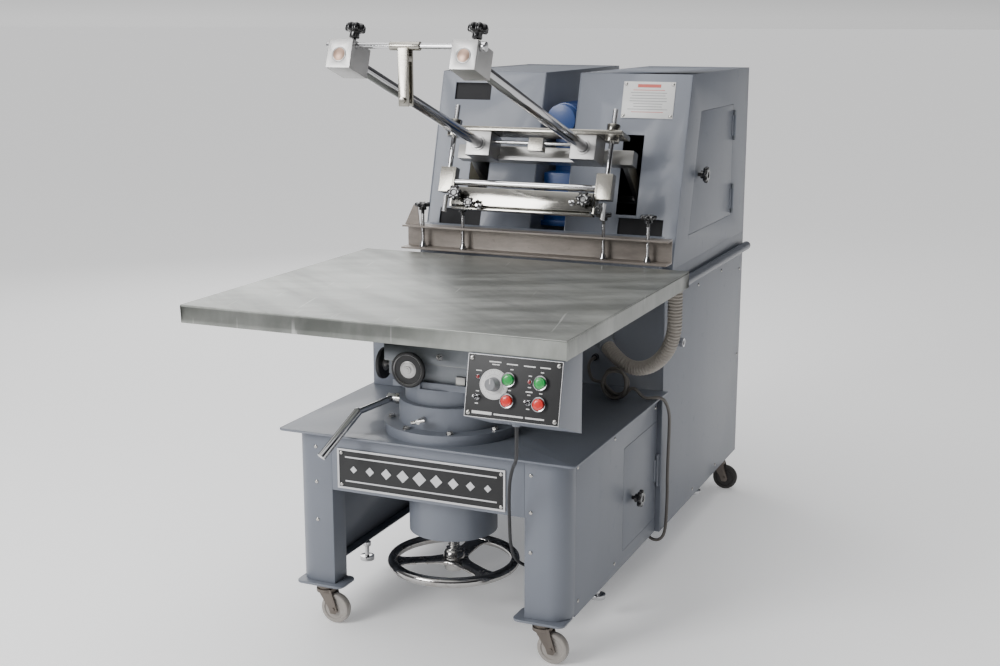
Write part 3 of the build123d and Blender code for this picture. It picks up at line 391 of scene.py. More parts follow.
def evaluated(piece):
    # the piece with its modifiers turned into a plain mesh
    bpy.context.view_layer.update()
    graph = bpy.context.evaluated_depsgraph_get()
    return bpy.data.meshes.new_from_object(piece.evaluated_get(graph), depsgraph=graph)


def placeAt(origin, along, turn=0.0):
    # local Z lies along the given direction
    spin = Vector(along).to_track_quat("Z", "Y").to_matrix().to_4x4()
    return Matrix.Translation(Vector(origin)) @ spin @ Matrix.Rotation(turn, 4, "Z")


def addGrid(shape, rows, closed=True, material=0):
    # rows of points joined by faces; closed joins each row's ends
    made = [[shape.verts.new(point) for point in row] for row in rows]
    for low, high in zip(made, made[1:]):
        count = len(low)
        for index in range(count if closed else count - 1):
            after = (index + 1) % count
            face = shape.faces.new((low[index], low[after], high[after], high[index]))
            face.material_index = material
    return made


def capRow(shape, row, material=0):
    shape.faces.new(row).material_index = material


def addLathe(shape, profile, place, segments=48, material=0, lobes=0, depth=0.0):
    # profile is (radius, height, lobe weight) along local Z; lobes scallop the rim
    rows = []
    for radius, height, *weight in profile:
        row = []
        for index in range(segments):
            turn = math.tau * index / segments
            scallop = (0.5 - 0.5 * math.cos(lobes * turn)) ** 1.5 * depth if lobes and weight else 0
            reach = radius * (1 - scallop * (weight[0] if weight else 0))
            row.append(place @ Vector((reach * math.cos(turn), reach * math.sin(turn), height)))
        rows.append(row)
    made = addGrid(shape, rows, material=material)
    capRow(shape, list(reversed(made[0])), material)
    capRow(shape, made[-1], material)


def addBox(shape, low, high, place=None, bevel=0.0, material=0):
    place = place or Matrix.Identity(4)
    middle = (Vector(low) + Vector(high)) / 2
    size = Vector(high) - Vector(low)
    matrix = place @ Matrix.Translation(middle) @ Matrix.Diagonal((*size, 1))
    made = bmesh.ops.create_cube(shape, size=1, matrix=matrix)
    faces = list(dict.fromkeys(face for vert in made["verts"] for face in vert.link_faces))
    if bevel:
        edges = list(dict.fromkeys(edge for face in faces for edge in face.edges))
        result = bmesh.ops.bevel(shape, geom=edges, offset=bevel, segments=2, profile=0.6, affect="EDGES")
        faces += result["faces"]
    for face in faces:
        if face.is_valid:
            face.material_index = material


def knobProfile(radius, height, neck):
    # share of the radius, height with the neck up to 1 and the head from 1 to 2, and how much it is lobed
    rows = [(0.22, 0.0, 0), (0.22, 1.0, 0), (0.40, 1.0, 0), (0.50, 1.08, 0), (0.46, 1.36, 0),
            (0.60, 1.44, 0.5), (0.90, 1.47, 1), (0.99, 1.56, 1), (1.0, 1.70, 1), (0.99, 1.84, 1),
            (0.93, 1.94, 1), (0.80, 2.0, 0.9), (0.42, 2.0, 0.2), (0.34, 1.97, 0), (0.30, 1.90, 0),
            (0.05, 1.90, 0)]
    return [(radius * r, neck * min(t, 1) + height * max(t - 1, 0), w) for r, t, w in rows]


def starKnob(name, body, origin, along, radius, height, neck, slotName="bakelite", replaced=(), turn=0.3):
    shape = bmesh.new()
    addLathe(shape, knobProfile(radius, height, neck), placeAt(origin, along, turn), 84, lobes=7, depth=0.26)
    return finishPiece(name, toMesh(shape, name), body, slotName, ["bakelite"], replaced, sharp=50)


def addThread(shape, start, end, radius, pitch=0.004, depth=0.0009, segments=24, material=0):
    # a rod whose surface climbs like a screw
    axis = Vector(end) - Vector(start)
    place = placeAt(start, axis)
    count = max(2, int(axis.length / pitch * 6))
    rows = []
    for step in range(count + 1):
        height = axis.length * step / count
        row = []
        for index in range(segments):
            phase = (height / pitch - index / segments) % 1
            reach = radius - depth * abs(2 * phase - 1)
            turn = math.tau * index / segments
            row.append(place @ Vector((reach * math.cos(turn), reach * math.sin(turn), height)))
        rows.append(row)
    made = addGrid(shape, rows, material=material)
    capRow(shape, list(reversed(made[0])), material)
    capRow(shape, made[-1], material)


# ---- CAD nodes with softened edges

def islands(shape):
    # the separate solids in a mesh, in the order of their first corners
    left = set(shape.verts)
    for first in list(shape.verts):
        if first not in left:
            continue
        left.remove(first)
        group = [first]
        for vert in group:
            for edge in vert.link_edges:
                other = edge.other_vert(vert)
                if other in left:
                    left.remove(other)
                    group.append(other)
        yield group


sharpAngle = 30
cornerSlack = 0.00008


def refine(node, finish, bevel=0.0015, parts=(), segments=2, body=None, name=None):
    # a merged copy of the node with rounded edges
    # each of parts is a finish, or None to leave a solid out, and a test on the solid's size and middle
    shape = bmesh.new()
    shape.from_mesh(nodes[node].data)
    bmesh.ops.remove_doubles(shape, verts=shape.verts, dist=0.00002)
    names = [finish]
    dropped = []
    for group in list(islands(shape)):
        low = Vector([min(vert.co[axis] for vert in group) for axis in range(3)])
        high = Vector([max(vert.co[axis] for vert in group) for axis in range(3)])
        index = 0
        for partFinish, test in parts:
            if test(high - low, (low + high) / 2):
                if partFinish is None:
                    dropped += group
                elif partFinish not in names:
                    names.append(partFinish)
                index = names.index(partFinish) if partFinish else 0
                break
        for face in {face for vert in group for face in vert.link_faces}:
            face.material_index = index
    bmesh.ops.delete(shape, geom=dropped, context="VERTS")
    bmesh.ops.dissolve_limit(shape, angle_limit=math.radians(0.8), verts=shape.verts, edges=shape.edges,
                             delimit={"MATERIAL"})
    surface = BVHTree.FromBMesh(shape)
    if bevel:
        sharp = [edge for edge in shape.edges
                 if len(edge.link_faces) == 2 and edge.calc_face_angle(0) > math.radians(sharpAngle)]
        bmesh.ops.bevel(shape, geom=sharp, offset=bevel, segments=segments, profile=0.6, affect="EDGES",
                        clamp_overlap=True, miter_outer="SHARP")
    # where rounded edges run together a corner may stand out of the piece, so it goes back to its surface
    for vert in shape.verts:
        point, normal, *_ = surface.find_nearest(vert.co)
        if (vert.co - point).dot(normal) > cornerSlack:
            vert.co = point
    mesh = bpy.data.meshes.new(name or node)
    shape.to_mesh(mesh)
    shape.free()
    return finishPiece(name or node + "_skin", mesh, body or bodyOf[node], slotOf[node], names, [node],
                       sharp=40)


def isSmall(limit):
    return lambda size, middle: max(size) < limit


# ---- geometry nodes for what repeats

def makeTree(name, sockets):
    tree = bpy.data.node_groups.new(name, "GeometryNodeTree")
    tree.interface.new_socket("Geometry", in_out="INPUT", socket_type="NodeSocketGeometry")
    for label, kind in sockets:
        tree.interface.new_socket(label, in_out="INPUT", socket_type=kind)
    tree.interface.new_socket("Geometry", in_out="OUTPUT", socket_type="NodeSocketGeometry")
    return tree


def addNode(tree, kind, links=None, **settings):
    made = tree.nodes.new(kind)
    for key, value in settings.items():
        setattr(made, key, value)
    for key, value in (links or {}).items():
        socket = socketOf(made.inputs, key)
        if isinstance(value, bpy.types.NodeSocket):
            tree.links.new(value, socket)
        else:
            socket.default_value = value
    return made


def scatterTree():
    # stands a pattern piece on every point, facing one way, each with its own twist
    tree = makeTree("scatterOnPoints", [("Pattern", "NodeSocketObject"), ("Facing", "NodeSocketVector"),
                                        ("Twist", "NodeSocketFloat"), ("Finish", "NodeSocketMaterial")])
    given = addNode(tree, "NodeGroupInput").outputs
    pattern = addNode(tree, "GeometryNodeObjectInfo", {"Object": given["Pattern"]}).outputs["Geometry"]
    aim = addNode(tree, "FunctionNodeAlignRotationToVector", {"Vector": given["Facing"]}, axis="Z").outputs[0]
    twist = addNode(tree, "FunctionNodeRandomValue", {"Max_001": given["Twist"], "Seed": 7},
                    data_type="FLOAT")
    spin = addNode(tree, "FunctionNodeAxisAngleToRotation", {"Angle": twist.outputs[1]}).outputs[0]
    turned = addNode(tree, "FunctionNodeRotateRotation", {"Rotation": aim, "Rotate By": spin},
                     rotation_space="LOCAL").outputs[0]
    placed = addNode(tree, "GeometryNodeInstanceOnPoints",
                     {"Points": given["Geometry"], "Instance": pattern, "Rotation": turned}).outputs[0]
    real = addNode(tree, "GeometryNodeRealizeInstances", {"Geometry": placed}).outputs[0]
    dressed = addNode(tree, "GeometryNodeSetMaterial",
                      {"Geometry": real, "Material": given["Finish"]}).outputs[0]
    addNode(tree, "NodeGroupOutput", {"Geometry": dressed})
    return tree


def ringTree():
    # stands a pattern piece at even turns round a circle in its own plane
    tree = makeTree("repeatRound", [("Pattern", "NodeSocketObject"), ("Count", "NodeSocketInt"),
                                    ("Radius", "NodeSocketFloat"), ("Finish", "NodeSocketMaterial")])
    given = addNode(tree, "NodeGroupInput").outputs
    pattern = addNode(tree, "GeometryNodeObjectInfo", {"Object": given["Pattern"]}).outputs["Geometry"]
    circle = addNode(tree, "GeometryNodeMeshCircle", {"Vertices": given["Count"], "Radius": given["Radius"]})
    index = addNode(tree, "GeometryNodeInputIndex").outputs[0]
    step = addNode(tree, "ShaderNodeMath", {0: math.tau, 1: given["Count"]}, operation="DIVIDE").outputs[0]
    angle = addNode(tree, "ShaderNodeMath", {0: index, 1: step}, operation="MULTIPLY").outputs[0]
    spin = addNode(tree, "FunctionNodeAxisAngleToRotation", {"Angle": angle}).outputs[0]
    placed = addNode(tree, "GeometryNodeInstanceOnPoints",
                     {"Points": circle.outputs[0], "Instance": pattern, "Rotation": spin}).outputs[0]
    real = addNode(tree, "GeometryNodeRealizeInstances", {"Geometry": placed}).outputs[0]
    dressed = addNode(tree, "GeometryNodeSetMaterial",
                      {"Geometry": real, "Material": given["Finish"]}).outputs[0]
    addNode(tree, "NodeGroupOutput", {"Geometry": dressed})
    return tree


trees = {"scatter": scatterTree(), "ring": ringTree()}


def grow(name, tree, base, place, **inputs):
    # runs a node tree on a mesh and gives the result as a plain mesh, moved to its place
    holder = bpy.data.objects.new(name, base)
    bpy.context.scene.collection.objects.link(holder)
    modifier = holder.modifiers.new(name, "NODES")
    modifier.node_group = trees[tree]
    for item in trees[tree].interface.items_tree:
        if item.in_out == "INPUT" and item.name in inputs:
            modifier[item.identifier] = inputs[item.name]
    mesh = evaluated(holder)
    holder.modifiers.remove(modifier)
    bpy.data.objects.remove(holder)
    mesh.materials.clear()
    mesh.transform(place)
    return mesh


def patternPiece(name, build):
    shape = bmesh.new()
    build(shape)
    piece = bpy.data.objects.new(name, toMesh(shape, name))
    bpy.context.scene.collection.objects.link(piece)
    return piece


def pointMesh(name, points):
    mesh = bpy.data.meshes.new(name)
    mesh.from_pydata([tuple(point) for point in points], [], [])
    return mesh


def screwHead(shape):
    # a domed head with a raised cross on it
    profile = [(0.0050, 0.0), (0.0050, 0.0006), (0.0046, 0.0015), (0.0036, 0.0022), (0.0022, 0.0026),
               (0.0008, 0.0027)]
    addLathe(shape, profile, Matrix.Identity(4), 20)
    for turn in (0, math.pi / 2):
        addBox(shape, (-0.0030, -0.00035, 0.00262), (0.0030, 0.00035, 0.00285), Matrix.Rotation(turn, 4, "Z"))


def hexHead(shape):
    addLathe(shape, [(0.0092, 0.0), (0.0092, 0.0016)], Matrix.Identity(4), 28)
    addLathe(shape, [(0.0082, 0.0014), (0.0082, 0.0066), (0.0074, 0.0074)], Matrix.Identity(4), 6)


patterns = {"screw": patternPiece("screwPattern", screwHead), "hex": patternPiece("hexPattern", hexHead)}


def screws(name, body, points, facing, pattern="screw", finish="screw", replaced=(), slotName="chrome"):
    mesh = grow(name, "scatter", pointMesh(name, points), Matrix.Identity(4), Pattern=patterns[pattern],
                Facing=facing, Twist=math.tau, Finish=finishes[finish])
    return finishPiece(name, mesh, body, slotName, [finish], replaced)


# ---- cords

hose = {
    "diameter": 0.040, "ribPitch": 0.0085, "ribDepth": 0.0034, "segments": 36,
    "route": [(446, -38, 832.7), (446, -38, 772), (446, -36, 715), (426, -28, 657), (382, -16, 612),
              (330, -6, 596), (279.2, 4, 613), (236, 40, 640)],
}
controlCable = {
    "diameter": 0.008,
    "route": [(345, -862, 669), (345, -860, 612), (318, -802, 566), (284, -736, 534), (256, -690, 484),
              (243, -664, 424), (238, -648, 362), (234, -634, 306), (233, -608, 262), (238, -572, 232),
              (256, -534, 212), (288, -512, 203), (322, -506, 200), (356, -506, 200)],
}
mainsCable = {
    "diameter": 0.009,
    "lead": [(184, 92, 596), (184, 62, 596), (186, 32, 594), (194, 4, 586), (208, -24, 574), (226, -48, 564),
             (250, -48, 564), (262, -48, 556), (274, -47, 542)],
    "tail": [(308, -47, 526), (322, -49, 541), (331, -50, 553), (346, -50, 556), (358, -46, 540),
             (368, -36, 527), (382, -22, 525.5), (397, -6, 526), (408, 12, 516), (411, 34, 494), (408, 66, 462),
             (400, 96, 424), (394, 114, 372), (392, 117, 318), (392, 116, 262), (393, 117, 206),
             (392, 116, 156), (391, 116, 118), (384, 116, 84), (362, 116, 70), (336, 116, 82), (336, 116, 108)],
    "coilMiddle": (290, 565), "coilHalf": (35.0, 42.0), "stepsPerTurn": 12,
    # the coil at each quarter turn from its bottom: how far forward the cord is, and its share of the size
    "coilQuarters": [(-46, 0.78), (-40.5, 1.0), (-50, 0.78), (-59.5, 1.0), (-59.5, 1.0), (-59.5, 0.97),
                     (-50, 1.0), (-40.0, 1.0), (-43, 1.0)],
}


def coilPoints():
    middleX, middleZ = mainsCable["coilMiddle"]
    halfX, halfZ = mainsCable["coilHalf"]
    quarters = mainsCable["coilQuarters"]
    perQuarter = mainsCable["stepsPerTurn"] // 4
    points = []
    for step in range((len(quarters) - 1) * perQuarter + 1):
        quarter, part = divmod(step, perQuarter)
        after = min(quarter + 1, len(quarters) - 1)
        share = part / perQuarter
        y = quarters[quarter][0] * (1 - share) + quarters[after][0] * share
        size = quarters[quarter][1] * (1 - share) + quarters[after][1] * share
        turn = math.tau * step / mainsCable["stepsPerTurn"] - math.pi / 2
        points.append((middleX + halfX * size * math.cos(turn), y, middleZ + halfZ * size * math.sin(turn)))
    return points


def cordCurve(name, points):
    curve = bpy.data.curves.new(name, "CURVE")
    curve.dimensions = "3D"
    curve.resolution_u = 10
    spline = curve.splines.new("NURBS")
    spline.points.add(len(points) - 1)
    for point, place in zip(spline.points, points):
        point.co = (*(value / 1000 for value in place), 1)
    spline.order_u = 3
    spline.use_endpoint_u = True
    return curve


def routeLine(name, points):
    # the points that the route's smooth line passes through
    holder = bpy.data.objects.new(name, cordCurve(name, points))
    bpy.context.scene.collection.objects.link(holder)
    line = [vert.co.copy() for vert in evaluated(holder).vertices]
    bpy.data.objects.remove(holder)
    return line


def evenLine(line, gap):
    lengths = [0.0]
    for before, after in zip(line, line[1:]):
        lengths.append(lengths[-1] + (after - before).length)
    count = max(2, round(lengths[-1] / gap))
    points = []
    at = 0
    for step in range(count + 1):
        want = lengths[-1] * step / count
        while at < len(line) - 2 and lengths[at + 1] < want:
            at += 1
        share = (want - lengths[at]) / max(lengths[at + 1] - lengths[at], 1e-9)
        points.append(line[at].lerp(line[at + 1], share))
    return points, lengths[-1]


def addTube(shape, line, radii, segments, material=0):
    # rings square to the line, carried along it without twisting
    side = (line[1] - line[0]).orthogonal().normalized()
    rows = []
    for index, point in enumerate(line):
        way = (line[min(index + 1, len(line) - 1)] - line[max(index - 1, 0)]).normalized()
        side = (side - way * side.dot(way)).normalized()
        other = way.cross(side)
        turns = [math.tau * step / segments for step in range(segments)]
        rows.append([point + (side * math.cos(turn) + other * math.sin(turn)) * radii[index]
                     for turn in turns])
    made = addGrid(shape, rows, material=material)
    capRow(shape, list(reversed(made[0])), material)
    capRow(shape, made[-1], material)


def makeHose():
    line, length = evenLine(routeLine("hoseRoute", hose["route"]), hose["ribPitch"] / 6)
    radius = hose["diameter"] / 2
    wave = (0.0, 0.35, 1.0, 1.0, 0.35, 0.0)
    radii = [radius - hose["ribDepth"] * wave[index % 6] for index in range(len(line))]
    shape = bmesh.new()
    addTube(shape, line, radii, hose["segments"])
    piece = finishPiece("vacuumHose", toMesh(shape, "vacuumHose"), None, "hose_grey", ["hose"],
                        ["vacuum_hose"], 60)
    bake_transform(piece)
    line[0]
    hose["diameter"]


def makeCable(name, points, diameter, finish, replaced, moving):
    line, length = evenLine(routeLine(name + "Route", points), 0.004)
    shape = bmesh.new()
    addTube(shape, line, [diameter / 2] * len(line), 16)
    body = None if moving else "base"
    piece = finishPiece(name, toMesh(shape, name), body, "cable_black", [finish], replaced, 60)
    if moving:
        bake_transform(piece)
    line[0]
    print(name, "length", round(length, 3))


makeHose()
makeCable("controlCable", controlCable["route"], controlCable["diameter"], "cableBlack", ["control_cable"],
          True)
mainsRoute = mainsCable["lead"] + coilPoints() + mainsCable["tail"]
makeCable("mainsCable", mainsRoute, mainsCable["diameter"], "cableGrey", ["mains_cable", "cable_coil"], False)
print("cords made")


# ---- frame, cabinet and housings

housingFace = {"foot": 0.152, "footHeight": 0.845, "lean": 0.284069}
softEdge = {"plate": 0.0025, "panel": 0.0016, "thin": 0.0009, "casting": 0.004}


def isKnob(size, middle):
    return 0.02 < size.x < 0.04 and 0.04 < size.y < 0.055 and 0.04 < size.z < 0.055


def slopePlace(x, z):
    # local X across, Y up the leaning front and Z out of it
    lean = math.atan(housingFace["lean"])
    y = housingFace["foot"] + (z - housingFace["footHeight"]) * housingFace["lean"]
    up = Vector((0, math.sin(lean), math.cos(lean)))
    out = Vector((0, -math.cos(lean), math.sin(lean)))
    return Matrix.Translation((x, y, z)) @ Matrix((Vector((1, 0, 0)), up, out)).transposed().to_4x4()


def makeFrame():
    refine("base_top_plate", "paint", softEdge["plate"])
    refine("front_legs", "paint", softEdge["panel"])
    refine("base_panels", "paint", softEdge["thin"], [("cableBlack", isSmall(0.03))])
    refine("lower_cabinet", "paint", softEdge["panel"],
           [("chrome", lambda size, middle: size.x < 0.011 and size.y > 0.02), ("cableBlack", isSmall(0.03))])
    refine("duct_housing", "paint", softEdge["panel"])
    refine("side_tubes", "tubePaint", 0, [("screw", isSmall(0.03))])
    for side in ("left", "right"):
        refine("housing_" + side, "paint", softEdge["panel"], [("castGrey", lambda size, middle: size.x < 0.03
                                                                and size.y < 0.08)])
    refine("vacuum_blower", "castGrey", 0.002)
    refine("frame_channel", "channel", 0.0012, [("paint", lambda size, middle: size.x < 0.75)])
    refine("caster_plates", "forkSteel", softEdge["thin"])
    refine("leveling_feet", "chrome", softEdge["thin"])
    for node in ("upper_door", "lower_door"):
        refine(node, "paint", softEdge["thin"], [(None, isKnob)])


def islandBoxes(node):
    shape = bmesh.new()
    shape.from_mesh(nodes[node].data)
    bmesh.ops.remove_doubles(shape, verts=shape.verts, dist=0.00002)
    boxes = []
    for group in islands(shape):
        low = Vector([min(vert.co[axis] for vert in group) for axis in range(3)])
        high = Vector([max(vert.co[axis] for vert in group) for axis in range(3)])
        boxes.append((low, high))
    shape.free()
    return boxes


def makeDoorKnobs():
    for node in ("upper_door", "lower_door"):
        low, high = next(pair for pair in islandBoxes(node) if isKnob(pair[1] - pair[0], None))
        origin = (low.x, (low.y + high.y) / 2, (low.z + high.z) / 2)
        starKnob(node + "Knob", node, origin, (1, 0, 0), 0.024, 0.022, 0.008)


def makePanelScrews():
    groups = {}
    for low, high in islandBoxes("panel_screws"):
        middle = (low + high) / 2
        if high.y - low.y < 0.004:
            groups.setdefault("front", []).append(Vector((middle.x, high.y, middle.z)))
        elif middle.x > 0:
            groups.setdefault("right", []).append(Vector((low.x, middle.y, middle.z)))
        else:
            groups.setdefault("left", []).append(Vector((high.x, middle.y, middle.z)))
    facing = {"front": (0, -1, 0), "right": (1, 0, 0), "left": (-1, 0, 0)}
    for side, points in groups.items():
        replaced = ["panel_screws"] if side == "front" else ()
        screws("screws_" + side, "base", points, facing[side], replaced=replaced)


badge = {"low": (-0.242, 0.375), "high": (0.212, 0.478), "front": -0.610, "thick": 0.003, "border": 0.005}
infoPlate = {"x": 0.260, "z": 1.295, "half": (0.075, 0.0515), "lines": 9}


def makeBadge():
    # a black plate with a silver edge and a plain row of lozenges between two lines
    shape = bmesh.new()
    (x0, z0), (x1, z1) = badge["low"], badge["high"]
    front = badge["front"] - badge["thick"]
    edge = badge["border"]
    addBox(shape, (x0, front, z0), (x1, badge["front"], z1), bevel=0.0006)
    for low, high in (((x0, z0), (x1, z0 + edge)), ((x0, z1 - edge), (x1, z1)),
                      ((x0, z0 + edge), (x0 + edge, z1 - edge)), ((x1 - edge, z0 + edge), (x1, z1 - edge))):
        addBox(shape, (low[0], front - 0.0008, low[1]), (high[0], front, high[1]), material=1)
    for height in (0.2, 0.8):
        z = z0 + (z1 - z0) * height
        addBox(shape, (x0 + 0.022, front - 0.0004, z - 0.0018), (x1 - 0.022, front, z + 0.0018), material=1)
    for index in range(9):
        middle = Vector((x0 + (x1 - x0) * (index + 1) / 10, front, (z0 + z1) / 2))
        place = Matrix.Translation(middle) @ Matrix.Rotation(math.pi / 4, 4, "Y")
        half = 0.013 - 0.0016 * abs(index - 4)
        addBox(shape, (-half, -0.0004, -half), (half, 0, half), place, material=1)
    finishPiece("frontBadge", toMesh(shape, "frontBadge"), "base", "plate_black", ["blackPaint", "silver"],
                ["nameplates"], sharp=20)
    corners = [(x, front, z) for x in (x0 + 0.011, x1 - 0.011) for z in (z0 + 0.011, z1 - 0.011)]
    screws("badgeScrews", "base", corners, (0, -1, 0))


def makeInfoPlate():
    # a white plate with a red heading bar and grey rules
    shape = bmesh.new()
    place = slopePlace(infoPlate["x"], infoPlate["z"])
    halfX, halfY = infoPlate["half"]
    addBox(shape, (-halfX, -halfY, 0), (halfX, halfY, 0.002), place, 0.0006)
    addBox(shape, (-halfX * 0.45, halfY * 0.68, 0.002), (halfX * 0.45, halfY * 0.86, 0.0023), place,
           material=1)
    width = random.Random(3)
    for index in range(infoPlate["lines"]):
        y = halfY * (0.52 - 0.15 * index)
        reach = halfX * width.uniform(0.55, 0.82)
        addBox(shape, (-reach, y, 0.002), (reach, y + 0.0016, 0.0022), place,
               material=1 if index in (0, 8) else 2)
    finishPiece("infoPlate", toMesh(shape, "infoPlate"), "base", "plate_black", ["white", "redInk", "greyInk"],
                sharp=20)
    inX, inY = halfX - 0.007, halfY - 0.007
    corners = [place @ Vector((x * inX, y * inY, 0.002)) for x in (-1, 1) for y in (-1, 1)]
    screws("infoScrews", "base", corners, place.to_3x3() @ Vector((0, 0, 1)))


def makeLiners():
    # dark panes stand behind the window and lower openings as painted shade, and the cream liner beside each slot
    shape = bmesh.new()
    for x, z, halfX, halfZ in ((-0.277, 1.309, 0.062, 0.028), (-0.275, 0.950, 0.070, 0.030),
                               (0.275, 0.950, 0.070, 0.030)):
        addBox(shape, (-halfX, -halfZ, -0.016), (halfX, halfZ, -0.006), slopePlace(x, z))
    for side in (-1, 1):
        addBox(shape, (-0.0015, -0.113, -0.075), (0.0015, 0.113, -0.004), slopePlace(side * 0.2625, 1.0915),
               material=1)
    finishPiece("housingLiners", toMesh(shape, "housingLiners"), "base", "body_paint", ["dark", "cream"])


makeFrame()
makeDoorKnobs()
makePanelScrews()
makeBadge()
makeInfoPlate()
makeLiners()
print("frame and cabinet made")


# ---- drive, pedestal and lifting gear

motor = {"front": 0.318, "rear": 0.520, "height": 1.234, "radius": 0.044, "fins": 44, "finDepth": 0.005}
handwheel = {"middle": (0, -0.452, 0.165), "radius": 0.170, "rim": 0.013, "hub": 0.028, "hubHalf": 0.025,
             "spokeHalf": 0.022, "flare": 0.030, "webThick": 0.0085, "spokeTurns": (90, 210, 330)}
liftScrew = {"low": 0.186, "high": 0.308, "radius": 0.0150, "pitch": 0.006}
feedWheels = {"depth_wheel": ((-0.056, -0.5893, 0.6893), (0, 1, 0), 0.045, 0.108),
              "cross_wheel": ((-0.1653, -0.513, 0.68094), (1, 0, 0), 0.040, 0.0763)}


def makeMotor():
    refine("gear_motor", "blue", 0.003)

    def fin(shape):
        half = motor["finDepth"] / 2
        addBox(shape, (-half, -0.0009, 0), (half, 0.0009, motor["rear"] - motor["front"]))

    piece = patternPiece("finPattern", fin)
    place = placeAt((0, motor["front"], motor["height"]), (0, 1, 0))
    middle = pointMesh("motorFins", [(0, 0, 0)])
    mesh = grow("motorFins", "ring", middle, place, Pattern=piece, Count=motor["fins"],
                Radius=motor["radius"] + 0.001, Finish=finishes["blue"])
    bpy.data.objects.remove(piece)
    finishPiece("motorFins", mesh, "base", "motor_blue", ["blue"])


def makePedestal():
    refine("pedestal_sleeve", "paint", softEdge["casting"],
           [(None, lambda size, middle: max(size) < 0.018), ("screw", isSmall(0.05))], 3)
    bolts = [(low + high) / 2 for low, high in islandBoxes("pedestal_sleeve") if max(high - low) < 0.018]
    for bolt in bolts:
        bolt.z -= 0.004
    screws("pedestalBolts", "base", bolts, (0, 0, 1), "hex")
    isRail = lambda size, middle: size.x < 0.03 and size.y > 0.2
    refine("column", "paint", 0.002, [("steel", isRail)])
    refine("saddle", "castGrey", 0.0015, [("steel", lambda size, middle: size.y < 0.03 and size.x > 0.2)])
    refine("clamp_lever", "chrome", softEdge["panel"], segments=3)
    shape = bmesh.new()
    addLathe(shape, [(0.0085, 0), (0.0085, 0.006), (0.0052, 0.006), (0.0052, 0.030), (0.0040, 0.032)],
             placeAt((0.016, -0.560, 0.722), (0.55, -0.80, 0.12)), 20)
    finishPiece("carrierScrew", toMesh(shape, "carrierScrew"), "table", "chrome", ["screw"])


def makeSpoke(shape, turn):
    # a web arm that widens into the hub and the rim
    place = Matrix.Translation(handwheel["middle"]) @ Matrix.Rotation(math.radians(turn), 4, "Z")
    start, end = handwheel["hub"] * 0.7, handwheel["radius"] - handwheel["rim"] * 1.2
    half = handwheel["webThick"] / 2
    rows = []
    for step in range(25):
        share = step / 24
        flare = handwheel["flare"] * (0.35 if share < 0.5 else 1)
        wide = handwheel["spokeHalf"] + flare * abs(2 * share - 1) ** 4
        thick = half * (1 + 0.6 * (1 - share) ** 3)
        x = start + (end - start) * share
        row = []
        for index in range(16):
            around = math.tau * index / 16
            across = math.copysign(abs(math.cos(around)) ** 0.35, math.cos(around)) * wide
            rise = math.copysign(abs(math.sin(around)) ** 0.6, math.sin(around)) * thick
            row.append(place @ Vector((x, across, rise)))
        rows.append(row)
    made = addGrid(shape, rows)
    capRow(shape, list(reversed(made[0])))
    capRow(shape, made[-1])


def makeHandwheel():
    shape = bmesh.new()
    middle = Matrix.Translation(handwheel["middle"])
    ringRadius = handwheel["radius"] - handwheel["rim"]
    rows = []
    for step in range(97):
        turn = math.tau * (step % 96) / 96
        out = Vector((math.cos(turn), math.sin(turn), 0))
        row = []
        for index in range(24):
            around = math.tau * index / 24
            row.append(middle @ (out * (ringRadius + handwheel["rim"] * math.cos(around))
                                 + Vector((0, 0, handwheel["rim"] * math.sin(around)))))
        rows.append(row)
    addGrid(shape, rows)
    bmesh.ops.remove_doubles(shape, verts=shape.verts, dist=0.00001)
    for turn in handwheel["spokeTurns"]:
        makeSpoke(shape, turn)
    hub, half = handwheel["hub"], handwheel["hubHalf"]
    addLathe(shape, [(hub * 0.8, -half), (hub * 0.86, -half + 0.002), (hub, -0.008), (hub, 0.008),
                     (hub * 0.9, half - 0.003), (hub * 0.82, half), (0.016, half)], middle, 40)
    finishPiece("handwheel", toMesh(shape, "handwheel"), "lift_handwheel", "chrome", ["rim"],
                ["lift_handwheel"], 45)
    shape = bmesh.new()
    x, y, _ = handwheel["middle"]
    addThread(shape, (x, y, liftScrew["low"]), (x, y, liftScrew["high"]), liftScrew["radius"],
              liftScrew["pitch"], 0.0022, 32)
    # a hexagonal nut on the hub, low enough to clear the sleeve with the column raised
    addLathe(shape, [(0.020, 0.188), (0.022, 0.189), (0.022, 0.1965), (0.020, 0.198)],
             Matrix.Translation((x, y, 0)), 6)
    finishPiece("liftScrew", toMesh(shape, "liftScrew"), "lift_handwheel", "chrome", ["screw"], sharp=50)


def makeFeedWheel(node):
    origin, inward, radius, length = feedWheels[node]
    place = placeAt(origin, inward)
    rim = [(radius - 0.0085, 0.0045), (radius - 0.0075, 0.0008), (radius - 0.004, 0), (radius - 0.001, 0.002),
           (radius, 0.006), (radius - 0.001, 0.0105), (radius - 0.004, 0.012), (radius - 0.0085, 0.0115)]
    dish = [(0.003, -0.0005), (0.0045, -0.0005), (0.005, 0.0003), (0.0085, 0.0005), (0.0095, 0.0022),
            (0.0110, 0.0026), (0.0150, 0.0034), (0.0165, 0.0030), (0.0178, 0.0036), (0.0250, 0.0056),
            (radius - 0.0120, 0.0062), (radius - 0.0095, 0.0050), (radius - 0.0088, 0.0018),
            (radius - 0.0076, 0.0006), (radius - 0.0072, 0.0030), (radius - 0.008, 0.0112), (0.020, 0.0112),
            (0.0130, 0.013), (0.0130, 0.0190), (0.0055, 0.0190), (0.0050, 0.0196), (0.0050, length)]
    shape = bmesh.new()
    addLathe(shape, rim, place, 56)
    addLathe(shape, dish, place, 56, material=1)
    body = bodyOf[node]
    finishPiece(node + "Face", toMesh(shape, node), body, "chrome", ["blackPaint", "aluminium"], [node], 30)


makeMotor()
makePedestal()
makeHandwheel()
for wheelNode in feedWheels:
    makeFeedWheel(wheelNode)
print("drive and pedestal made")


# ---- table

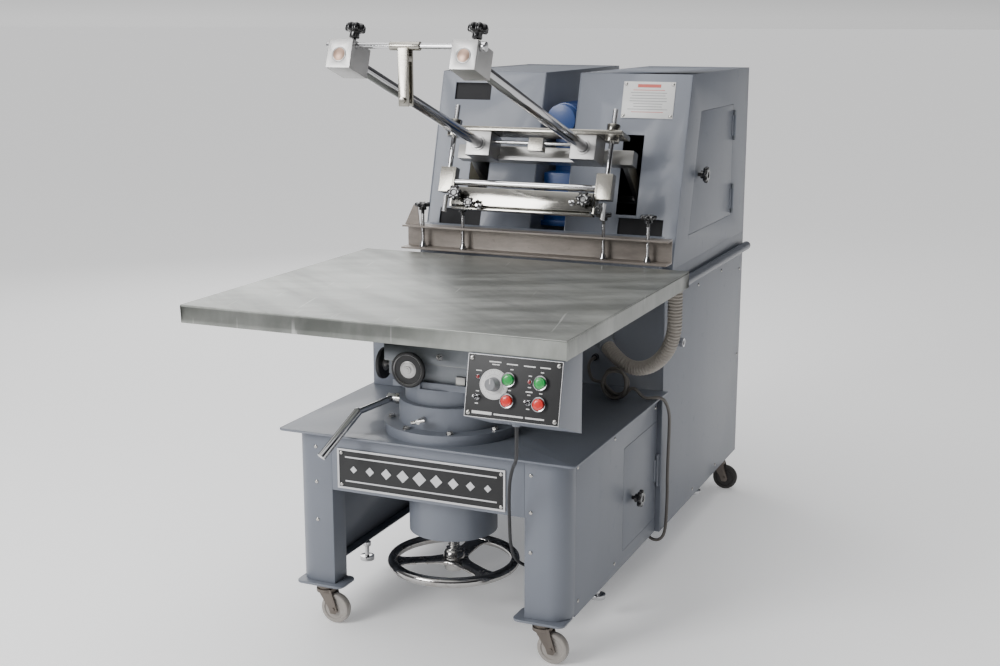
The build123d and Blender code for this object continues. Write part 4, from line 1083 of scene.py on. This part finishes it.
refine("table", "table", 0.0018, [("castGrey", lambda size, middle: size.x < 0.3 and size.y < 0.3),
                                  ("paint", lambda size, middle: min(size.x, size.y) < 0.01)], 3)
print("table made")


# ---- casters

casterWheel = {"radius": 0.040, "half": 0.012, "bore": 0.0056}


def makeCaster(corner):
    refine("caster_fork_" + corner, "forkSteel", softEdge["thin"])
    low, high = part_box("caster_wheel_" + corner)
    middle = (low + high) / 2
    r, half = casterWheel["radius"], casterWheel["half"]
    side = [(casterWheel["bore"], half), (0.012, half), (0.0132, half - 0.0025), (0.027, half - 0.0035),
            (0.029, half - 0.001), (0.034, half - 0.0004), (0.0375, half - 0.002), (r - 0.0006, half - 0.006),
            (r, half - 0.0095)]
    profile = [(radius, -height) for radius, height in side]
    profile += [(radius, height) for radius, height in reversed(side)]
    shape = bmesh.new()
    addLathe(shape, profile, placeAt(middle, (0, 1, 0)), 56)
    finish = "wheelNylon" if "front" in corner else "wheelRubber"
    node = "caster_wheel_" + corner
    finishPiece(node + "Tyre", toMesh(shape, node), node, "caster_tyre", [finish], [node], 35)


for casterCorner in ("front_left", "front_right", "rear_left", "rear_right"):
    makeCaster(casterCorner)
print("casters made")


# ---- control box and its panel

panel = {
    "middle": (0.3635, -0.922, 0.7667), "up": (0, 0.207504, 0.978234), "out": (0, -0.978234, 0.207504),
    "thick": 0.003, "size": (0.213, 0.13294), "border": 0.0011, "screwInset": 0.009,
    "dial": (-0.0435, 0.006), "dialRadius": 0.032, "ticks": 41, "tickRadius": 0.0283,
    "numbers": 11, "numberRadius": 0.0243, "numberSize": 0.0042, "firstNumber": 225, "sweep": 270,
    "buttons": {"button_machine_on": (-0.010, 0.019, "green"), "button_machine_off": (-0.010, -0.025, "red"),
                "button_vacuum_on": (0.061, 0.019, "green"), "button_vacuum_off": (0.061, -0.025, "red")},
    "lamps": ((-0.080, 0.019), (0.036, 0.019)),
    "toggles": {"counter_toggle": (-0.080, -0.024), "timer_toggle": (0.036, -0.024)}, "toggleLean": -12,
    # plain white bars where a machine has its labels: middle, half width, half height
    "bars": [
        (-0.0445, 0.0530, 0.0135, 0.0013), (-0.0430, 0.0475, 0.0085, 0.0011), (-0.0060, 0.0510, 0.0125, 0.0013),
        (0.0330, 0.0505, 0.0130, 0.0013), (0.0680, 0.0505, 0.0115, 0.0013), (-0.0060, 0.0405, 0.0035, 0.0011),
        (0.0620, 0.0405, 0.0035, 0.0011), (-0.0800, 0.0320, 0.0065, 0.0011), (0.0360, 0.0310, 0.0035, 0.0011),
        (0.0360, 0.0075, 0.0035, 0.0011), (0.0360, -0.0020, 0.0075, 0.0013), (0.0360, -0.0085, 0.0035, 0.0010),
        (-0.0080, -0.0030, 0.0035, 0.0011), (0.0620, -0.0030, 0.0035, 0.0011), (-0.0800, -0.0110, 0.0035, 0.0011),
        (-0.0800, -0.0370, 0.0035, 0.0011), (0.0360, -0.0375, 0.0035, 0.0011), (-0.0665, -0.0555, 0.0225, 0.0030),
        (-0.0060, -0.0560, 0.0330, 0.0017), (0.0530, -0.0560, 0.0210, 0.0017),
    ],
}


def panelPlace(u, v, lift=0.0):
    # local X to the right, Y up the panel and Z out of its face
    up, out = Vector(panel["up"]), Vector(panel["out"])
    origin = Vector(panel["middle"]) + Vector((u, 0, 0)) + up * v + out * (panel["thick"] + lift)
    return Matrix.Translation(origin) @ Matrix((Vector((1, 0, 0)), up, out)).transposed().to_4x4()


def makePanelPlate():
    shape = bmesh.new()
    place = panelPlace(0, 0)
    halfX, halfY = panel["size"][0] / 2, panel["size"][1] / 2
    edge = panel["border"]
    addBox(shape, (-halfX, -halfY, -panel["thick"]), (halfX, halfY, 0), place, 0.0007)
    for low, high in (((-halfX, -halfY), (halfX, edge - halfY)), ((-halfX, halfY - edge), (halfX, halfY)),
                      ((-halfX, edge - halfY), (edge - halfX, halfY - edge)),
                      ((halfX - edge, edge - halfY), (halfX, halfY - edge))):
        addBox(shape, (*low, 0), (*high, 0.0003), place, material=1)
    for u, v, halfU, halfV in panel["bars"]:
        addBox(shape, (u - halfU, v - halfV, 0), (u + halfU, v + halfV, 0.0003), place, material=2)
    bezel = [(0.0123, 0), (0.0160, 0), (0.0160, 0.0062), (0.0154, 0.0074), (0.0142, 0.0080),
             (0.0128, 0.0078), (0.0123, 0.0070), (0.0123, 0.0004)]
    for u, v, _ in panel["buttons"].values():
        addLathe(shape, bezel, panelPlace(u, v), 44, material=3)
    ring = [(0.0030, 0), (0.0056, 0), (0.0056, 0.0022), (0.0048, 0.0034), (0.0040, 0.0034), (0.0040, 0.001)]
    dome = [(0.0040, 0.0004), (0.0040, 0.0034), (0.0036, 0.0046), (0.0024, 0.0055), (0.0005, 0.0059)]
    for u, v in panel["lamps"]:
        addLathe(shape, ring, panelPlace(u, v), 28, material=3)
        addLathe(shape, dome, panelPlace(u, v), 24, material=4)
    nut = [(0.0042, 0), (0.0078, 0), (0.0078, 0.0022)]
    bush = [(0.0042, 0.0004), (0.0060, 0.0022), (0.0060, 0.0062), (0.0054, 0.0070), (0.0043, 0.0070),
            (0.0042, 0.0010)]
    for u, v in panel["toggles"].values():
        addLathe(shape, nut, panelPlace(u, v), 6, material=3)
        addLathe(shape, bush, panelPlace(u, v), 28, material=3)
    finishPiece("panelPlate", toMesh(shape, "panelPlate"), "column", "plate_black",
                ["blackPaint", "silver", "white", "chrome", "lampRed"], ["control_panel"], 30)
    inX, inY = halfX - panel["screwInset"], halfY - panel["screwInset"]
    corners = [panelPlace(x * inX, y * inY).translation for x in (-1, 1) for y in (-1, 1)]
    screws("panelCornerScrews", "column", corners, panel["out"])


def makeDial():
    u, v = panel["dial"]
    radius = panel["dialRadius"]
    place = panelPlace(u, v)
    shape = bmesh.new()
    addLathe(shape, [(radius, 0), (radius, 0.0015), (radius - 0.0006, 0.0020)], place, 72)
    for ringRadius in (0.0205, 0.0300):
        inner, outer = ringRadius - 0.0002, ringRadius + 0.0002
        addLathe(shape, [(inner, 0.0019), (inner, 0.0021), (outer, 0.0021), (outer, 0.0019)], place, 64,
                 material=1)
    finishPiece("dialDisc", toMesh(shape, "dialDisc"), "column", "plate_black", ["white", "greyInk"], sharp=30)

    def tick(shape):
        addBox(shape, (-0.0014, -0.00016, 0), (0.0014, 0.00016, 0.0002))

    piece = patternPiece("tickPattern", tick)
    middle = pointMesh("dialTicks", [(0, 0, 0)])
    mesh = grow("dialTicks", "ring", middle, panelPlace(u, v, 0.0019), Pattern=piece,
                Count=panel["ticks"], Radius=panel["tickRadius"], Finish=finishes["greyInk"])
    bpy.data.objects.remove(piece)
    finishPiece("dialTicks", mesh, "column", "plate_black", ["greyInk"])
    shape = bmesh.new()
    for number in range(panel["numbers"]):
        turn = math.radians(panel["firstNumber"] - panel["sweep"] * number / (panel["numbers"] - 1))
        text = bpy.data.curves.new("dialNumber", "FONT")
        text.body = str(number)
        text.size = panel["numberSize"]
        text.extrude = 0.00005
        text.resolution_u = 2
        text.align_x = text.align_y = "CENTER"
        holder = bpy.data.objects.new("dialNumber", text)
        bpy.context.scene.collection.objects.link(holder)
        digits = evaluated(holder)
        bpy.data.objects.remove(holder)
        reach = panel["numberRadius"]
        digits.transform(panelPlace(u + reach * math.cos(turn), v + reach * math.sin(turn), 0.00202))
        shape.from_mesh(digits)
    finishPiece("dialNumbers", toMesh(shape, "dialNumbers"), "column", "plate_black", ["greyInk"])
    knob = bmesh.new()
    profile = [(0.0150, 0.0023), (0.0152, 0.0032), (0.0146, 0.0044), (0.0130, 0.0052), (0.0128, 0.0200),
               (0.0121, 0.0232), (0.0106, 0.0243), (0.0088, 0.0243), (0.0084, 0.0238), (0.0010, 0.0238)]
    addLathe(knob, profile, place, 60)
    for index in range(24):
        spin = Matrix.Rotation(math.tau * index / 24, 4, "Z")
        addBox(knob, (0.0124, -0.0007, 0.0056), (0.0133, 0.0007, 0.0205), place @ spin, 0.0003)
    addBox(knob, (-0.0008, 0.0010, 0.0236), (0.0008, 0.0118, 0.0246), place, material=1)
    finishPiece("speedKnob", toMesh(knob, "speedKnob"), "speed_dial", "dial_grey", ["knobGrey", "white"],
                ["speed_dial"], 35)


def makeButtons():
    for node, (u, v, colour) in panel["buttons"].items():
        shape = bmesh.new()
        cap = [(0.0119, 0.0065), (0.0119, 0.0108), (0.0114, 0.0118), (0.0106, 0.0122), (0.0100, 0.0117),
               (0.0094, 0.0117), (0.0088, 0.0122), (0.0060, 0.0125), (0.0010, 0.0126)]
        addLathe(shape, cap, panelPlace(u, v), 44)
        finishPiece(node + "Cap", toMesh(shape, node), node, slotOf[node], [colour], [node], 40)
    for node, (u, v) in panel["toggles"].items():
        shape = bmesh.new()
        place = panelPlace(u, v, 0.004) @ Matrix.Rotation(math.radians(panel["toggleLean"]), 4, "X")
        bat = [(0.0012, -0.0030), (0.0026, -0.0018), (0.0030, 0.0), (0.0025, 0.0019), (0.0016, 0.0032),
               (0.0017, 0.0090), (0.0024, 0.0130), (0.0029, 0.0158), (0.0029, 0.0175), (0.0022, 0.0187),
               (0.0008, 0.0191)]
        addLathe(shape, bat, place, 24)
        finishPiece(node + "Bat", toMesh(shape, node), node, "chrome", ["chrome"], [node], 50)


refine("control_box", "paint", softEdge["panel"])
makePanelPlate()
makeDial()
makeButtons()
print("control panel made")


# ---- print head

# a place on the head is x, how far it is along the arms and how far square above them
head = {"tilt": 18.84, "y": 0.200, "z": 1.1285, "rodX": 0.154, "blockFace": 0.9607, "knobAlong": 0.905,
        "knobUp": 0.0363}
headForward = Vector((0, -math.cos(math.radians(head["tilt"])), math.sin(math.radians(head["tilt"]))))
headUp = Vector((0, math.sin(math.radians(head["tilt"])), math.cos(math.radians(head["tilt"]))))
spindle = {"x": 0.232, "along": 0.158, "radius": 0.0073, "pitch": 0.003, "depth": 0.0007,
           "threads": ((0.0665, 0.1062), (-0.1420, -0.0720), (-0.196, -0.150))}


def headPoint(x, along, up):
    return Vector((x, head["y"], head["z"])) + headForward * along + headUp * up


def makeHead():
    refine("arm_rods", "chrome", 0.0008)
    refine("end_blocks", "aluminium", 0.0022, [("copper", isSmall(0.055))], 3)
    shape = bmesh.new()
    for x in (-head["rodX"], head["rodX"]):
        addLathe(shape, [(0.0150, 0), (0.0150, 0.0008), (0.0143, 0.0013)],
                 placeAt(headPoint(x, head["blockFace"], 0), headForward), 36)
    finishPiece("rodEndDiscs", toMesh(shape, "rodEndDiscs"), bodyOf["end_blocks"], "satin_aluminium",
                ["copper"])
    refine("head_yoke", "steel", 0.0015, [("chrome", lambda size, middle: size.x > 0.48 and size.z < 0.035)])
    refine("hang_lever", "nickel", 0.0014)
    for side in ("left", "right"):
        node = "end_knob_" + side
        x = head["rodX"] if side == "right" else -head["rodX"]
        starKnob(node + "Star", node, headPoint(x, head["knobAlong"], head["knobUp"]), headUp, 0.024, 0.034,
                 0.018, replaced=[node])
    refine("carriage_blocks", "aluminium", 0.0018,
           [("dark", lambda size, middle: max(size) < 0.045 and abs(middle.x) > 0.1),
            ("chrome", lambda size, middle: size.x > 0.2 and size.z < 0.012), ("nickel", isSmall(0.08))], 3)
    refine("carriage_bridge", "nickel", 0.0012, [("chrome", lambda size, middle: size.x < 0.1)])
    refine("squeegee_holder", "nickel", 0.0014,
           [(None, lambda size, middle: 0.035 < size.x < 0.06 and max(size) < 0.065),
            ("chrome", lambda size, middle: size.x > 0.3)], 3)
    refine("squeegee_blade", "polished", 0.0010)
    shape = bmesh.new()
    for side in (-1, 1):
        x, along = side * spindle["x"], spindle["along"]
        for low, high in spindle["threads"]:
            addThread(shape, headPoint(x, along, low), headPoint(x, along, high), spindle["radius"],
                      spindle["pitch"], spindle["depth"])
    finishPiece("spindleThreads", toMesh(shape, "spindleThreads"), "carriage", "chrome", ["chrome"], sharp=60)


def makeSmallKnobs():
    # star knobs on the squeegee's plates, all on studs
    for side, x in (("Left", -0.188), ("Right", 0.188)):
        starKnob("holderKnob" + side, "squeegee", headPoint(x, 0.179, -0.150), headForward, 0.022, 0.020,
                 0.008)
    starKnob("holderKnobLow", "squeegee", headPoint(-0.141, 0.178, -0.176), headForward, 0.017, 0.015,
             0.016, turn=0.8)
    starKnob("cheekKnob", "squeegee", headPoint(0.212, 0.176, -0.166), (1, 0, 0), 0.013, 0.012, 0.007)
    shape = bmesh.new()
    stud = [(0.0078, 0), (0.0078, 0.0045), (0.0042, 0.0055), (0.0042, 0.020), (0.0030, 0.022)]
    for x, up in ((0.150, -0.158), (-0.118, -0.181)):
        addLathe(shape, stud, placeAt(headPoint(x, 0.178, up), headForward), 20)
    finishPiece("holderStuds", toMesh(shape, "holderStuds"), "squeegee", "nickel", ["chrome"], sharp=35)


makeHead()
makeSmallKnobs()
print("print head made")


# ---- frame clamps

frameClamps = {"y": 0.063, "places": (-0.336, -0.210, 0.210, 0.336), "knob": 0.973, "low": 0.8773,
               "footTop": 0.8913, "radius": 0.005, "pitch": 0.0015}
# the outline is x and z
gusset = {"thick": 0.003, "y": 0.074,
          "outline": [(-0.402, 0.932), (-0.352, 0.932), (-0.3585, 0.996), (-0.3705, 0.996)]}


def makeFrameClamps():
    for index, x in enumerate(frameClamps["places"], start=1):
        node = "frame_clamp_" + str(index)
        y = frameClamps["y"]
        starKnob(node + "Star", node, (x, y, frameClamps["knob"]), (0, 0, 1), 0.023, 0.022, 0.010,
                 replaced=[node], turn=0.4 * index)
        shape = bmesh.new()
        addThread(shape, (x, y, frameClamps["footTop"] - 0.002), (x, y, frameClamps["knob"] + 0.004),
                  frameClamps["radius"], frameClamps["pitch"], 0.0005, 20)
        low, top = frameClamps["low"], frameClamps["footTop"]
        foot = [(0.0100, low), (0.0110, low + 0.0010), (0.0110, low + 0.0030), (0.0060, top - 0.0015),
                (0.0055, top + 0.0020), (0.0020, top + 0.0024)]
        addLathe(shape, foot, Matrix.Translation((x, y, 0)), 28)
        finishPiece(node + "Shank", toMesh(shape, node + "Shank"), node, "chrome", ["chrome"], sharp=50)


def makeGusset():
    shape = bmesh.new()
    rear = gusset["y"] + gusset["thick"]
    rows = [[Vector((x, y, z)) for x, z in gusset["outline"]] for y in (gusset["y"], rear)]
    made = addGrid(shape, rows)
    capRow(shape, list(reversed(made[0])))
    capRow(shape, made[-1])
    finishPiece("channelGusset", toMesh(shape, "channelGusset"), "base", "channel_paint", ["channel"])


makeFrameClamps()
makeGusset()
print("frame clamps made")


for pattern in patterns.values():
    bpy.data.objects.remove(pattern)
